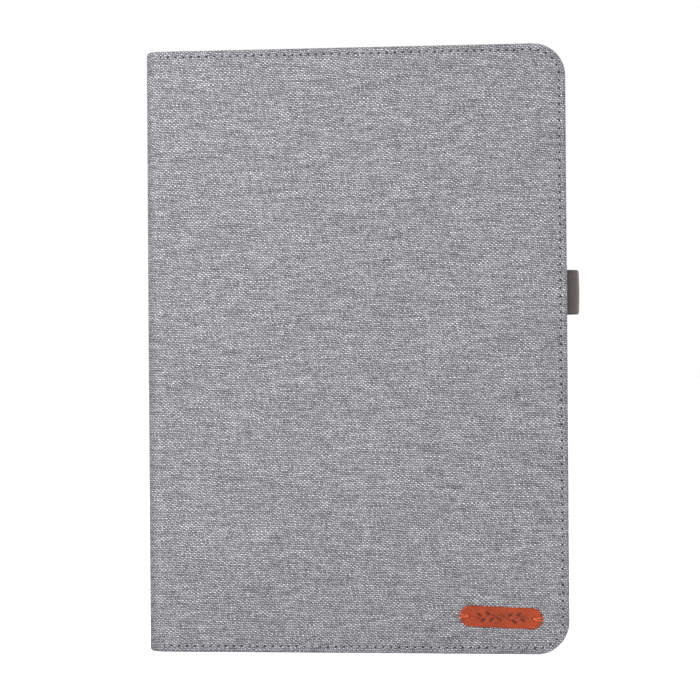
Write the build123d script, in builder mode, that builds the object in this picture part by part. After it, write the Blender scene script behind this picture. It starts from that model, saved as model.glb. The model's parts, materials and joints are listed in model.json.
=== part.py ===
"""Tablet keyboard case: a fabric folio with a moulded tray, a keyboard, a kickstand flap and a pen loop.

The closed case stands on its lower edge, as a book stands on a shelf.
+Z runs up along the spine, +X from the spine to the free edge, and +Y from the front cover to the back.
The origin is at the bottom, in the middle of the whole box. Lengths are in millimetres.
"""

import os
from math import atan2, ceil, degrees

from build123d import *

# --- Driving dimensions ---------------------------------------------------------------------------------------
HEIGHT = 256.0  # along the spine
WIDTH = 178.8  # spine face to free edge
THICKNESS = 21.0  # closed, fabric face to fabric face
CORNER_R = 13.8  # the two corners at the free edge
SPINE_R = 7.0  # the fabric's bend from a cover into the spine

SKIN_T, BOARD_T, LINING_T = 0.8, 1.0, 0.6
PANEL_T = SKIN_T + BOARD_T + LINING_T
HEM = 1.2  # fabric turned round the board's edge

TABLET_W, TABLET_H, TABLET_T = 162.4, 247.4, 7.0  # the tray's hollow
TRAY_WALL, TRAY_BASE, TRAY_LIP, LIP_OVERHANG = 1.8, 1.2, 1.0, 1.6
TRAY_CORNER_R, TRAY_EDGE_R = 9.0, 0.7
PLATE_T = 0.8
TRAY_FROM_EDGE = 6.0

KEYBOARD_W, KEYBOARD_H, KEYBOARD_T = 118.0, 244.0, 5.8
KEYBOARD_FROM_EDGE = 6.0
ROW_MARGIN = 4.5  # deck between the front row and the keyboard's front edge
PITCH = 16.5
ROW_UNITS = 14.5
FUNCTION_ROW = 0.55
KEY_GAP = 1.8
KEY_TRAVEL = 1.2
KEY_CORNER, KEY_BEVEL = 1.2, 0.35

LOOP_OUT, LOOP_LENGTH, LOOP_Z = 5.4, 18.7, 151.75
LOOP_T, PEN_R = 0.8, 4.3

LABEL_L, LABEL_W, LABEL_T, LABEL_R = 34.3, 8.8, 0.7, 4.1
LABEL_FROM_EDGE, LABEL_Z, LABEL_TILT = 28.5, 15.5, -2.3

SEAM_INSET, STITCH_PITCH, STITCH_L, STITCH_W, STITCH_H = 2.7, 3.35, 2.5, 0.5, 0.2
GROOVE_W, GROOVE_T = 0.8, 0.25  # the stitches lie sunk in this, so that the back rests flat
LABEL_STITCH_H = 0.3

# --- Places worked out from them ------------------------------------------------------------------------------
X_SPINE = -(WIDTH + LOOP_OUT) / 2
X_EDGE = X_SPINE + WIDTH
X_FOLD = X_SPINE + SPINE_R
Y_FRONT = (LABEL_T + LABEL_STITCH_H - THICKNESS) / 2
Y_BACK = Y_FRONT + THICKNESS

X_STAND = X_SPINE + WIDTH / 2  # the kickstand's fold line
STAND_GAP = 1.0  # from the fold line to each board
STAND_LINING_T = 0.5

TRAY_X1 = X_EDGE - TRAY_FROM_EDGE
TRAY_X0 = TRAY_X1 - TABLET_W - 2 * TRAY_WALL
TRAY_X, TRAY_W = (TRAY_X0 + TRAY_X1) / 2, TRAY_X1 - TRAY_X0
TRAY_H = TABLET_H + 2 * TRAY_WALL
TRAY_DEPTH = TRAY_LIP + TABLET_T + TRAY_BASE
TRAY_D = THICKNESS - PANEL_T - PLATE_T - TRAY_DEPTH  # depth of the tray's open face behind the front
MIDDLE = HEIGHT / 2

CAMERA_X, CAMERA_Z, CAMERA_SIZE, CAMERA_R = TRAY_X1 - 16.0, HEIGHT - 19.0, 16.0, 4.0
WINDOW_SIZE, WINDOW_R = CAMERA_SIZE + 2.0, CAMERA_R + 1.0  # the kickstand clears the tray's window all round
PORT_W, PORT_T, PORT_R = 14.0, 5.8, 2.0
SPEAKER_W, SPEAKER_T, SPEAKER_R, SPEAKER_X = 20.0, 3.6, 1.5, 50.0
BUTTON_SLOT_H, BUTTON_SLOT_Z = 42.0, HEIGHT - 70.0
SLOT_Y = Y_FRONT + TRAY_D + TRAY_LIP + TABLET_T / 2

KEYBOARD_X1 = X_EDGE - KEYBOARD_FROM_EDGE
KEYBOARD_X0 = KEYBOARD_X1 - KEYBOARD_W
KEYBOARD_X = (KEYBOARD_X0 + KEYBOARD_X1) / 2
KEYBOARD_Z0 = (HEIGHT - KEYBOARD_H) / 2
KEYBOARD_Z1 = KEYBOARD_Z0 + KEYBOARD_H
KEYBOARD_R, SHELL_WALL, DECK_BEVEL = 4.0, 1.2, 0.4
SLIP = 0.1  # round each part that slides in the shell
KEYS_X1 = KEYBOARD_X1 - ROW_MARGIN
KEYS_X0 = KEYS_X1 - (5 + FUNCTION_ROW) * PITCH
KEYS_LENGTH = ROW_UNITS * PITCH
KEYS_Z1 = MIDDLE + KEYS_LENGTH / 2

# Levels inside the keyboard, up from the front cover's lining.
GLUE, PAN, PLATE, MEMBRANE, SHEET = 0.1, 0.8, 1.1, 1.4, 1.6
FLANGE_LOW = SHEET + KEY_TRAVEL + 0.3
DOME, FLANGE_HIGH, DECK_LOW, DECK_HIGH = FLANGE_LOW - 0.05, FLANGE_LOW + 0.6, 3.8, 4.8
FLANGE_RIM, WINDOW_RIM = 0.6, 0.2
DOME_R, DOME_TOP_R = 3.0, 1.8

# Parts in the keyboard's rear strip.
STRIP_X = (KEYBOARD_X0 + KEYS_X0) / 2
BATTERY_X0, BATTERY_W, BATTERY_H, BATTERY_HIGH, BATTERY_R = KEYBOARD_X0 + 2.5, 14.0, 120.0, 3.4, 1.0
BATTERY_Z = KEYBOARD_Z0 + 74.0
CIRCUIT_W, CIRCUIT_H, CIRCUIT_HIGH = 14.0, 88.0, 1.25
CIRCUIT_X = BATTERY_X0 + CIRCUIT_W / 2
CIRCUIT_Z = KEYBOARD_Z1 - 8.6 - CIRCUIT_H / 2
CHIPS = [(-2.0, -22.0, 6.0, 6.0, 0.9), (2.5, 10.0, 4.0, 5.0, 0.8), (-3.0, -34.0, 3.0, 6.0, 1.0)]
SOCKET_X, SOCKET_W, SOCKET_T, SOCKET_L, SOCKET_WALL = CIRCUIT_X, 8.94, 3.2, 7.3, 0.3
SOCKET_R, SOCKET_Y = 1.55, Y_FRONT + PANEL_T + DECK_LOW - SOCKET_T / 2
TONGUE_W, TONGUE_T, TONGUE_L = 6.7, 0.7, 5.0
SWITCH_X, SWITCH_W, SWITCH_T, SWITCH_TRAVEL = KEYS_X0 - 5.6, 3.0, 1.6, 2.5
SWITCH_OUT, SWITCH_FLANGE, SWITCH_RIM, SWITCH_LEVEL, SWITCH_BEVEL = 0.8, 0.8, 0.4, 2.3, 0.25
BUTTON_Z, BUTTON_R, BUTTON_FLANGE_R = KEYBOARD_Z1 - 26.0, 2.5, 3.1
BUTTON_TOP, BUTTON_EDGE_R = 5.2, 0.2
LIGHT_ZS = [KEYBOARD_Z1 - z for z in (38.0, 44.0, 50.0)]
LIGHT_R, LIGHT_BAR_W, LIGHT_BAR_T = 0.9, 3.0, 0.45
TAIL_W, TAIL_Z, TAIL_T = 12.0, CIRCUIT_Z - 6.0, 0.15
CONNECTOR_W, CONNECTOR_L, CONNECTOR_T = 3.0, TAIL_W + 2.0, 1.0
TACT_SWITCH = 4.0  # under the pairing button
SCREW_X = KEYS_X0 - 2.55
SCREW_ZS = [KEYBOARD_Z0 + z for z in (8.0, 66.0, 124.0, 160.0, 226.0)]
SCREW_R, SCREW_HEAD_R, PILLAR_R, SCREW_TOP = 0.6, 1.4, 1.6, 3.3

STOP_X, STOP_W, STOP_H, STOP_T, STOP_EDGE_R = X_SPINE + 41.0, 5.5, 240.0, 4.0, 1.2
STOP_MAGNET = (3.0, 20.0, 2.0)
STOP_MAGNET_ZS = [MIDDLE + z for z in (-90.0, -30.0, 30.0, 90.0)]
MAGNET_R, PLATE_MAGNET_R, WAKE_R = 4.0, 5.0, 2.5
MAGNET_X, MAGNET_ZS = X_EDGE - 10.0, [MIDDLE + z for z in (-104.0, -38.0, 38.0)]
PLATE_MAGNET_X = TRAY_X1 - 12.0
WAKE_X, WAKE_Z = X_EDGE - 34.0, MIDDLE + 70.0
KEEPER_H, KEEPER_T, KEEPER_W = 200.0, 0.5, 4.0


# --- Helpers --------------------------------------------------------------------------------------------------
def layer(depth):
    """The plane facing the front at this depth behind the front cover's face. Its axes are X and Z."""
    return Plane.XZ.offset(-(Y_FRONT + depth))


def level(height):
    """The same plane at this height above the front cover's lining, inside the keyboard."""
    return layer(PANEL_T + height)


def finish(piece, name):
    """Labels one finished sub-part and writes it."""
    piece.part.label = name
    export_step(piece.part, f"parts/{name}.step")


def panel(x0, x1, inset=0.0, rounded=True):
    """A cover's outline from x0 to x1, with the two round corners at the free edge, drawn in by inset."""
    with BuildSketch() as outline:
        with Locations(((x0 + x1 - inset) / 2, MIDDLE)):
            Rectangle(x1 - inset - x0, HEIGHT - 2 * inset)
        if rounded:
            fillet(outline.vertices().group_by(Axis.X)[-1], radius=CORNER_R - inset)
    return outline.sketch


def seam_path(x0, x1, rounded):
    """A seam's line from x0 along the top, down the x1 edge and back along the bottom, inside the edges."""
    low, high = SEAM_INSET, HEIGHT - SEAM_INSET
    corner = CORNER_R - SEAM_INSET if rounded else 2 * STITCH_PITCH
    with BuildLine() as line:
        FilletPolyline((x0, high), (x1 - SEAM_INSET, high), (x1 - SEAM_INSET, low), (x0, low), radius=corner)
    return line.wires()[0]


def skin(x0, x1, pocket_x0, pocket_x1, depth, inward):
    """Outer fabric of a panel with its edges turned over. inward is -1 where the inside is towards +Y."""
    with BuildPart() as piece:
        with BuildSketch(layer(depth)):
            add(panel(x0, x1, rounded=x1 == X_EDGE))
        extrude(amount=inward * PANEL_T)
        with BuildSketch(layer(depth - inward * SKIN_T)):
            add(panel(pocket_x0, pocket_x1, HEM, rounded=x1 == X_EDGE))
        extrude(amount=inward * PANEL_T, mode=Mode.SUBTRACT)
        with BuildSketch(layer(depth)):
            trace(seam_path(x0, x1, x1 == X_EDGE).edges(), GROOVE_W)
        extrude(amount=inward * GROOVE_T, mode=Mode.SUBTRACT)
    return piece


def fold_strip(y, sign):
    """The fabric and lining that bend a quarter turn between the spine and the cover at y."""
    with BuildPart() as piece:
        with BuildSketch(Plane.XY):
            with Locations((X_FOLD, y + sign * SPINE_R)):
                Circle(SPINE_R)
                Circle(SPINE_R - SKIN_T - LINING_T, mode=Mode.SUBTRACT)
            with Locations((X_FOLD - SPINE_R / 2, y + sign * SPINE_R / 2)):
                Rectangle(SPINE_R, SPINE_R, mode=Mode.INTERSECT)
        extrude(amount=HEIGHT)
    return piece


def seam(path, depth, outward):
    """Separate stitches along a path, standing on this depth. outward is 1 on the front and -1 on the back."""
    count = ceil(path.length / STITCH_PITCH)
    with BuildPart() as piece:
        with BuildSketch(layer(depth)):
            for index in range(count):
                along = (index + 0.5) / count
                tangent = path.tangent_at(along)
                with Locations(Location(path.position_at(along), (0, 0, degrees(atan2(tangent.Y, tangent.X))))):
                    Rectangle(STITCH_L, STITCH_W)
        extrude(amount=outward * STITCH_H)
    return piece


def key_places():
    """Every key as (centre x, centre z, size along x, size along z), in a dict by the group it belongs to."""
    rows = [
        [("function_keys", ROW_UNITS / 14, 14)],
        [("number_keys", 1, 13), ("backspace_key", 1.5, 1)],
        [("tab_key", 1.5, 1), ("upper_letter_keys", 1, 13)],
        [("caps_key", 1.75, 1), ("home_letter_keys", 1, 11), ("enter_key", 1.75, 1)],
        [("left_shift_key", 2.25, 1), ("lower_letter_keys", 1, 10), ("right_shift_key", 2.25, 1)],
        [("modifier_keys", 1, 4), ("space_bar", 5.5, 1), ("modifier_keys", 1, 2), ("arrow_keys", 1, 3)],
    ]
    places = {}
    x = KEYS_X0
    for number, row in enumerate(rows):
        depth = PITCH * FUNCTION_ROW if number == 0 else PITCH
        z = KEYS_Z1
        for name, units, count in row:
            for index in range(count):
                middle = z - units * PITCH / 2
                size_z = units * PITCH - KEY_GAP
                halves = name == "arrow_keys" and index == 1
                for part in range(2 if halves else 1):
                    size_x = depth / 2 - KEY_GAP if halves else depth - KEY_GAP
                    shift = (part - 0.5) * depth / 2 if halves else 0
                    places.setdefault(name, []).append((x + depth / 2 + shift, middle, size_x, size_z))
                z -= units * PITCH
        x += depth
    return places


def key_outline(place, rim, corner):
    """One key's rounded rectangle grown by rim, to be drawn in the open sketch."""
    x, z, size_x, size_z = place
    with Locations((x, z)):
        RectangleRounded(size_x + 2 * rim, size_z + 2 * rim, corner)


def key_group(places):
    """Keycaps with their retaining flanges under the deck, all at rest."""
    with BuildPart() as piece:
        with BuildSketch(level(FLANGE_LOW)):
            for place in places:
                key_outline(place, FLANGE_RIM, KEY_CORNER)
        extrude(amount=FLANGE_LOW - FLANGE_HIGH)
        with BuildSketch(level(FLANGE_HIGH)):
            for place in places:
                key_outline(place, 0, KEY_CORNER)
        extrude(amount=FLANGE_HIGH - KEYBOARD_T)
        chamfer(piece.faces().group_by(Axis.Y)[-1].edges(), KEY_BEVEL)
    return piece


def discs(x, zs, depth, radius, thickness):
    """A row of disc magnets at one depth behind the front."""
    with BuildPart() as piece:
        with BuildSketch(layer(depth)):
            with Locations(*[(x, z) for z in zs]):
                Circle(radius)
        extrude(amount=-thickness)
    return piece


KEYS = key_places()
os.makedirs("parts", exist_ok=True)

# --- Back cover, near half, with the tray --------------------------------------------------------------------
back_skin = skin(X_FOLD, X_STAND - STAND_GAP, X_FOLD, X_STAND - STAND_GAP, THICKNESS, 1)
finish(back_skin, "back_skin")

with BuildPart() as back_board:
    with BuildSketch(layer(THICKNESS - SKIN_T)):
        add(panel(X_FOLD, X_STAND - STAND_GAP, HEM, rounded=False))
    extrude(amount=PANEL_T - SKIN_T)
finish(back_board, "back_board")

back_seam = seam(seam_path(X_FOLD, X_STAND - STAND_GAP, False), THICKNESS - GROOVE_T, -1)
finish(back_seam, "back_seam_thread")

with BuildPart() as tray_plate:
    with BuildSketch(layer(THICKNESS - PANEL_T)):
        with Locations(((X_FOLD + TRAY_X1) / 2, MIDDLE)):
            RectangleRounded(TRAY_X1 - X_FOLD, TRAY_H, TRAY_CORNER_R)
        with Locations((CAMERA_X, CAMERA_Z)):
            RectangleRounded(CAMERA_SIZE, CAMERA_SIZE, CAMERA_R, mode=Mode.SUBTRACT)
        with Locations((TRAY_X1, LOOP_Z)):
            Rectangle(2 * TRAY_FROM_EDGE, LOOP_LENGTH, mode=Mode.SUBTRACT)
        with Locations(*[(PLATE_MAGNET_X, z) for z in MAGNET_ZS]):
            Circle(PLATE_MAGNET_R, mode=Mode.SUBTRACT)
    extrude(amount=PLATE_T)
finish(tray_plate, "tray_plate")

with BuildPart() as tray:
    with BuildSketch(layer(TRAY_D)):
        with Locations((TRAY_X, MIDDLE)):
            RectangleRounded(TRAY_W, TRAY_H, TRAY_CORNER_R)
    extrude(amount=-TRAY_DEPTH)
    fillet(tray.faces().sort_by(Axis.Y)[0].outer_wire().edges(), TRAY_EDGE_R)
    with BuildSketch(layer(TRAY_D + TRAY_LIP)):
        with Locations((TRAY_X, MIDDLE)):
            RectangleRounded(TABLET_W, TABLET_H, TRAY_CORNER_R - TRAY_WALL)
    extrude(amount=-TABLET_T, mode=Mode.SUBTRACT)
    with BuildSketch(layer(TRAY_D)):
        with Locations((TRAY_X, MIDDLE)):
            RectangleRounded(
                TABLET_W - 2 * LIP_OVERHANG, TABLET_H - 2 * LIP_OVERHANG, TRAY_CORNER_R - TRAY_WALL - LIP_OVERHANG
            )
    extrude(amount=-TRAY_LIP, mode=Mode.SUBTRACT)
    with BuildSketch(layer(TRAY_D)):
        with Locations((CAMERA_X, CAMERA_Z)):
            RectangleRounded(CAMERA_SIZE, CAMERA_SIZE, CAMERA_R)
    extrude(amount=-TRAY_DEPTH, mode=Mode.SUBTRACT)
    with BuildSketch(Plane.XY):
        with Locations((TRAY_X, SLOT_Y)):
            RectangleRounded(PORT_W, PORT_T, PORT_R)
        with Locations((TRAY_X - SPEAKER_X, SLOT_Y), (TRAY_X + SPEAKER_X, SLOT_Y)):
            RectangleRounded(SPEAKER_W, SPEAKER_T, SPEAKER_R)
    extrude(amount=MIDDLE - TABLET_H / 2 + LIP_OVERHANG, mode=Mode.SUBTRACT)
    with BuildSketch(Plane.XY.offset(HEIGHT)):
        with Locations((TRAY_X - SPEAKER_X, SLOT_Y), (TRAY_X + SPEAKER_X, SLOT_Y)):
            RectangleRounded(SPEAKER_W, SPEAKER_T, SPEAKER_R)
    extrude(amount=-(MIDDLE - TABLET_H / 2 + LIP_OVERHANG), mode=Mode.SUBTRACT)
    with BuildSketch(Plane.YZ.offset(TRAY_X1 + TRAY_WALL)):
        with Locations((SLOT_Y, BUTTON_SLOT_Z)):
            RectangleRounded(PORT_T, BUTTON_SLOT_H, PORT_R)
    extrude(amount=-3 * TRAY_WALL, mode=Mode.SUBTRACT)
    with Locations((TRAY_X0, SLOT_Y, MIDDLE)):
        Box(2 * KEEPER_T, KEEPER_W, KEEPER_H, mode=Mode.SUBTRACT)
finish(tray, "tray")

with BuildPart() as keeper_strip:
    with Locations((TRAY_X0 + KEEPER_T / 2, SLOT_Y, MIDDLE)):
        Box(KEEPER_T, KEEPER_W, KEEPER_H)
finish(keeper_strip, "keeper_strip")

with BuildPart() as pen_loop:
    loop_x, loop_r = X_EDGE + LOOP_OUT - PEN_R - LOOP_T, PEN_R + LOOP_T
    loop_y = Y_BACK - PANEL_T - loop_r
    tail_x0 = TRAY_X1 - TRAY_FROM_EDGE
    with BuildSketch(Plane.XY.offset(LOOP_Z - LOOP_LENGTH / 2)):
        with Locations((loop_x, loop_y)):
            Circle(loop_r)
        with Locations(((tail_x0 + loop_x) / 2, loop_y + loop_r - LOOP_T / 2)):
            Rectangle(loop_x - tail_x0, LOOP_T)
        with Locations((loop_x, loop_y)):
            Circle(PEN_R, mode=Mode.SUBTRACT)
    extrude(amount=LOOP_LENGTH)
finish(pen_loop, "pen_loop")

plate_magnets = discs(PLATE_MAGNET_X, MAGNET_ZS, THICKNESS - PANEL_T - PLATE_T, PLATE_MAGNET_R, PLATE_T)
finish(plate_magnets, "tray_plate_magnets")

# --- Kickstand: the back cover's far half --------------------------------------------------------------------
flap_skin = skin(X_STAND + STAND_GAP, X_EDGE, X_STAND + STAND_GAP + HEM, X_EDGE, THICKNESS, 1)
camera_window = (CAMERA_X, CAMERA_Z)
with BuildPart() as kickstand_skin:
    add(flap_skin.part)
    with BuildSketch(layer(THICKNESS)):
        with Locations(camera_window):
            RectangleRounded(WINDOW_SIZE, WINDOW_SIZE, WINDOW_R)
    extrude(amount=PANEL_T, mode=Mode.SUBTRACT)
finish(kickstand_skin, "kickstand_skin")

with BuildPart() as kickstand_board:
    with BuildSketch(layer(THICKNESS - SKIN_T)):
        add(panel(X_STAND + STAND_GAP + HEM, X_EDGE, HEM))
        with Locations(camera_window):
            RectangleRounded(WINDOW_SIZE, WINDOW_SIZE, WINDOW_R, mode=Mode.SUBTRACT)
        with Locations(*[(PLATE_MAGNET_X, z) for z in MAGNET_ZS]):
            Circle(MAGNET_R, mode=Mode.SUBTRACT)
    extrude(amount=BOARD_T)
finish(kickstand_board, "kickstand_board")

stand_magnets = discs(PLATE_MAGNET_X, MAGNET_ZS, THICKNESS - SKIN_T - BOARD_T, MAGNET_R, BOARD_T)
finish(stand_magnets, "kickstand_magnets")

with BuildPart() as kickstand_lining:
    with BuildSketch(layer(THICKNESS - SKIN_T - BOARD_T)):
        add(panel(X_STAND + STAND_GAP + HEM, X_EDGE, HEM))
        with Locations(camera_window):
            RectangleRounded(WINDOW_SIZE, WINDOW_SIZE, WINDOW_R, mode=Mode.SUBTRACT)
    extrude(amount=STAND_LINING_T)
finish(kickstand_lining, "kickstand_lining")

kickstand_seam = seam(seam_path(X_STAND + STAND_GAP, X_EDGE, True), THICKNESS - GROOVE_T, -1)
finish(kickstand_seam, "kickstand_seam_thread")

with BuildPart() as kickstand_fold:
    with BuildSketch(layer(THICKNESS)):
        with Locations((X_STAND, MIDDLE)):
            Rectangle(2 * STAND_GAP, HEIGHT)
    extrude(amount=SKIN_T)
finish(kickstand_fold, "kickstand_fold_strip")

# --- Spine ----------------------------------------------------------------------------------------------------
SPINE_W = THICKNESS - 2 * SPINE_R
SPINE_Y = (Y_FRONT + Y_BACK) / 2

with BuildPart() as spine_skin:
    with BuildSketch(Plane.YZ.offset(X_SPINE)):
        with Locations((SPINE_Y, MIDDLE)):
            Rectangle(SPINE_W, HEIGHT)
    extrude(amount=PANEL_T)
    with BuildSketch(Plane.YZ.offset(X_SPINE + SKIN_T)):
        with Locations((SPINE_Y, MIDDLE)):
            Rectangle(SPINE_W, HEIGHT - 2 * HEM)
    extrude(amount=PANEL_T, mode=Mode.SUBTRACT)
finish(spine_skin, "spine_skin")

with BuildPart() as spine_board:
    with BuildSketch(Plane.YZ.offset(X_SPINE + SKIN_T)):
        with Locations((SPINE_Y, MIDDLE)):
            Rectangle(SPINE_W, HEIGHT - 2 * HEM)
    extrude(amount=BOARD_T)
finish(spine_board, "spine_board")

with BuildPart() as spine_lining:
    with BuildSketch(Plane.YZ.offset(X_SPINE + SKIN_T + BOARD_T)):
        with Locations((SPINE_Y, MIDDLE)):
            Rectangle(SPINE_W, HEIGHT - 2 * HEM)
    extrude(amount=LINING_T)
finish(spine_lining, "spine_lining")

front_fold = fold_strip(Y_FRONT, 1)
finish(front_fold, "front_fold_strip")
back_fold = fold_strip(Y_BACK, -1)
finish(back_fold, "back_fold_strip")

# --- Front cover ----------------------------------------------------------------------------------------------
front_skin = skin(X_FOLD, X_EDGE, X_FOLD, X_EDGE, 0.0, -1)
finish(front_skin, "front_skin")

with BuildPart() as front_board:
    with BuildSketch(layer(SKIN_T)):
        add(panel(X_FOLD, X_EDGE, HEM))
        with Locations(*[(MAGNET_X, z) for z in MAGNET_ZS]):
            Circle(MAGNET_R, mode=Mode.SUBTRACT)
        with Locations((WAKE_X, WAKE_Z)):
            Circle(WAKE_R, mode=Mode.SUBTRACT)
    extrude(amount=-BOARD_T)
finish(front_board, "front_board")

with BuildPart() as front_lining:
    with BuildSketch(layer(SKIN_T + BOARD_T)):
        add(panel(X_FOLD, X_EDGE, HEM))
    extrude(amount=-LINING_T)
finish(front_lining, "front_lining")

finish(seam(seam_path(X_FOLD, X_EDGE, True), GROOVE_T, 1), "seam_thread")
finish(discs(MAGNET_X, MAGNET_ZS, SKIN_T, MAGNET_R, BOARD_T), "front_closure_magnets")
finish(discs(WAKE_X, [WAKE_Z], SKIN_T, WAKE_R, BOARD_T), "wake_magnet")

LABEL_X = X_EDGE - LABEL_FROM_EDGE
LABEL_HOLE, LABEL_HOLE_R, LABEL_THREAD_W = 3.8, 0.5, 0.6
label_place = Location((LABEL_X, LABEL_Z, 0), (0, 0, LABEL_TILT))
hole_spots = [(side * (LABEL_L / 2 - LABEL_HOLE), 0) for side in (-1, 1)]
end_spots = [(side * (LABEL_L / 2 + LABEL_THREAD_W / 2), 0) for side in (-1, 1)]
bar_spots = [(side * (LABEL_L - LABEL_HOLE + LABEL_THREAD_W) / 2, 0) for side in (-1, 1)]

with BuildPart() as label:
    with BuildSketch(layer(0)):
        with Locations(label_place):
            RectangleRounded(LABEL_L, LABEL_W, LABEL_R)
            with Locations(*hole_spots):
                Circle(LABEL_HOLE_R, mode=Mode.SUBTRACT)
    extrude(amount=LABEL_T)
finish(label, "label")

with BuildPart() as label_thread:
    with BuildSketch(layer(0)):
        with Locations(label_place):
            with Locations(*hole_spots):
                Circle(LABEL_THREAD_W / 2)
            with Locations(*end_spots):
                Rectangle(LABEL_THREAD_W, LABEL_THREAD_W)
    extrude(amount=LABEL_T)
    with BuildSketch(layer(-LABEL_T)):
        with Locations(label_place):
            with Locations(*bar_spots):
                Rectangle(LABEL_HOLE + 2 * LABEL_THREAD_W, LABEL_THREAD_W)
    extrude(amount=LABEL_STITCH_H)
finish(label_thread, "label_thread")

with BuildPart() as tablet_stop:
    with BuildSketch(layer(PANEL_T)):
        with Locations((STOP_X, MIDDLE)):
            Rectangle(STOP_W, STOP_H)
    extrude(amount=-STOP_T)
    fillet(tablet_stop.faces().sort_by(Axis.Y)[-1].edges(), STOP_EDGE_R)
    with BuildSketch(layer(PANEL_T)):
        with Locations(*[(STOP_X, z) for z in STOP_MAGNET_ZS]):
            Rectangle(STOP_MAGNET[0], STOP_MAGNET[1])
    extrude(amount=-STOP_MAGNET[2], mode=Mode.SUBTRACT)
finish(tablet_stop, "tablet_stop")

with BuildPart() as stop_magnets:
    with BuildSketch(layer(PANEL_T)):
        with Locations(*[(STOP_X, z) for z in STOP_MAGNET_ZS]):
            Rectangle(STOP_MAGNET[0], STOP_MAGNET[1])
    extrude(amount=-STOP_MAGNET[2])
finish(stop_magnets, "stop_magnets")

# --- Keyboard -------------------------------------------------------------------------------------------------
with BuildPart() as keyboard_adhesive:
    with BuildSketch(level(0)):
        with Locations((KEYBOARD_X, MIDDLE)):
            RectangleRounded(KEYBOARD_W, KEYBOARD_H, KEYBOARD_R)
    extrude(amount=-GLUE)
finish(keyboard_adhesive, "keyboard_adhesive")

with BuildPart() as keyboard_base:
    with BuildSketch(level(GLUE)):
        with Locations((KEYBOARD_X, MIDDLE)):
            RectangleRounded(KEYBOARD_W, KEYBOARD_H, KEYBOARD_R)
    extrude(amount=GLUE - DECK_LOW)
    with BuildSketch(level(PAN)):
        with Locations((KEYBOARD_X, MIDDLE)):
            RectangleRounded(KEYBOARD_W - 2 * SHELL_WALL, KEYBOARD_H - 2 * SHELL_WALL, KEYBOARD_R - SHELL_WALL)
    extrude(amount=PAN - DECK_LOW, mode=Mode.SUBTRACT)
    with BuildSketch(level(GLUE)):
        with Locations(*[(SCREW_X, z) for z in SCREW_ZS]):
            Circle(SCREW_HEAD_R)
    extrude(amount=GLUE - PAN, mode=Mode.SUBTRACT)
    with BuildSketch(Plane.XY.offset(KEYBOARD_Z1)):
        with Locations((SOCKET_X, SOCKET_Y)):
            RectangleRounded(SOCKET_W, SOCKET_T, SOCKET_R)
        with Locations((SWITCH_X + SWITCH_TRAVEL / 2, Y_FRONT + PANEL_T + SWITCH_LEVEL)):
            Rectangle(SWITCH_W + SWITCH_TRAVEL + 2 * SLIP, SWITCH_T + 2 * SLIP)
    extrude(amount=-SOCKET_L, mode=Mode.SUBTRACT)
finish(keyboard_base, "keyboard_base")

with BuildPart() as keyboard_deck:
    with BuildSketch(level(DECK_LOW)):
        with Locations((KEYBOARD_X, MIDDLE)):
            RectangleRounded(KEYBOARD_W, KEYBOARD_H, KEYBOARD_R)
        for places in KEYS.values():
            for x, z, size_x, size_z in places:
                with Locations((x, z)):
                    RectangleRounded(
                        size_x + 2 * WINDOW_RIM, size_z + 2 * WINDOW_RIM, KEY_CORNER, mode=Mode.SUBTRACT
                    )
        with Locations((STRIP_X, BUTTON_Z)):
            Circle(BUTTON_R + SLIP, mode=Mode.SUBTRACT)
        with Locations(*[(STRIP_X, z) for z in LIGHT_ZS]):
            Circle(LIGHT_R, mode=Mode.SUBTRACT)
    extrude(amount=DECK_LOW - DECK_HIGH)
    with BuildSketch(level(PAN)):
        with Locations(*[(SCREW_X, z) for z in SCREW_ZS]):
            Circle(PILLAR_R)
    extrude(amount=PAN - DECK_LOW)
    with BuildSketch(level(PAN)):
        with Locations(*[(SCREW_X, z) for z in SCREW_ZS]):
            Circle(SCREW_R)
    extrude(amount=PAN - SCREW_TOP, mode=Mode.SUBTRACT)
    chamfer(keyboard_deck.faces().sort_by(Axis.Y)[-1].outer_wire().edges(), DECK_BEVEL)
finish(keyboard_deck, "keyboard_deck")

with BuildPart() as deck_screws:
    with BuildSketch(level(GLUE)):
        with Locations(*[(SCREW_X, z) for z in SCREW_ZS]):
            Circle(SCREW_HEAD_R)
    extrude(amount=GLUE - PAN)
    with BuildSketch(level(PAN)):
        with Locations(*[(SCREW_X, z) for z in SCREW_ZS]):
            Circle(SCREW_R)
    extrude(amount=PAN - SCREW_TOP)
finish(deck_screws, "deck_screws")

STACK_GAP, STACK_R = 0.5, 3.0
STACK_X0, STACK_X1 = KEYS_X0, KEYBOARD_X1 - SHELL_WALL - STACK_GAP
STACK_W, STACK_X = STACK_X1 - STACK_X0, (STACK_X0 + STACK_X1) / 2
STACK_H = KEYBOARD_H - 2 * (SHELL_WALL + STACK_GAP)

with BuildPart() as key_backplate:
    with BuildSketch(level(PAN)):
        with Locations((STACK_X, MIDDLE)):
            Rectangle(STACK_W, STACK_H)
    extrude(amount=PAN - PLATE)
    fillet(key_backplate.edges().filter_by(Axis.Y), STACK_R)
finish(key_backplate, "key_backplate")

with BuildPart() as key_membrane:
    with BuildSketch(level(PLATE)):
        with Locations((STACK_X, MIDDLE)):
            Rectangle(STACK_W, STACK_H)
    extrude(amount=PLATE - MEMBRANE)
    fillet(key_membrane.edges().filter_by(Axis.Y), STACK_R)
finish(key_membrane, "key_membrane")

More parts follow.
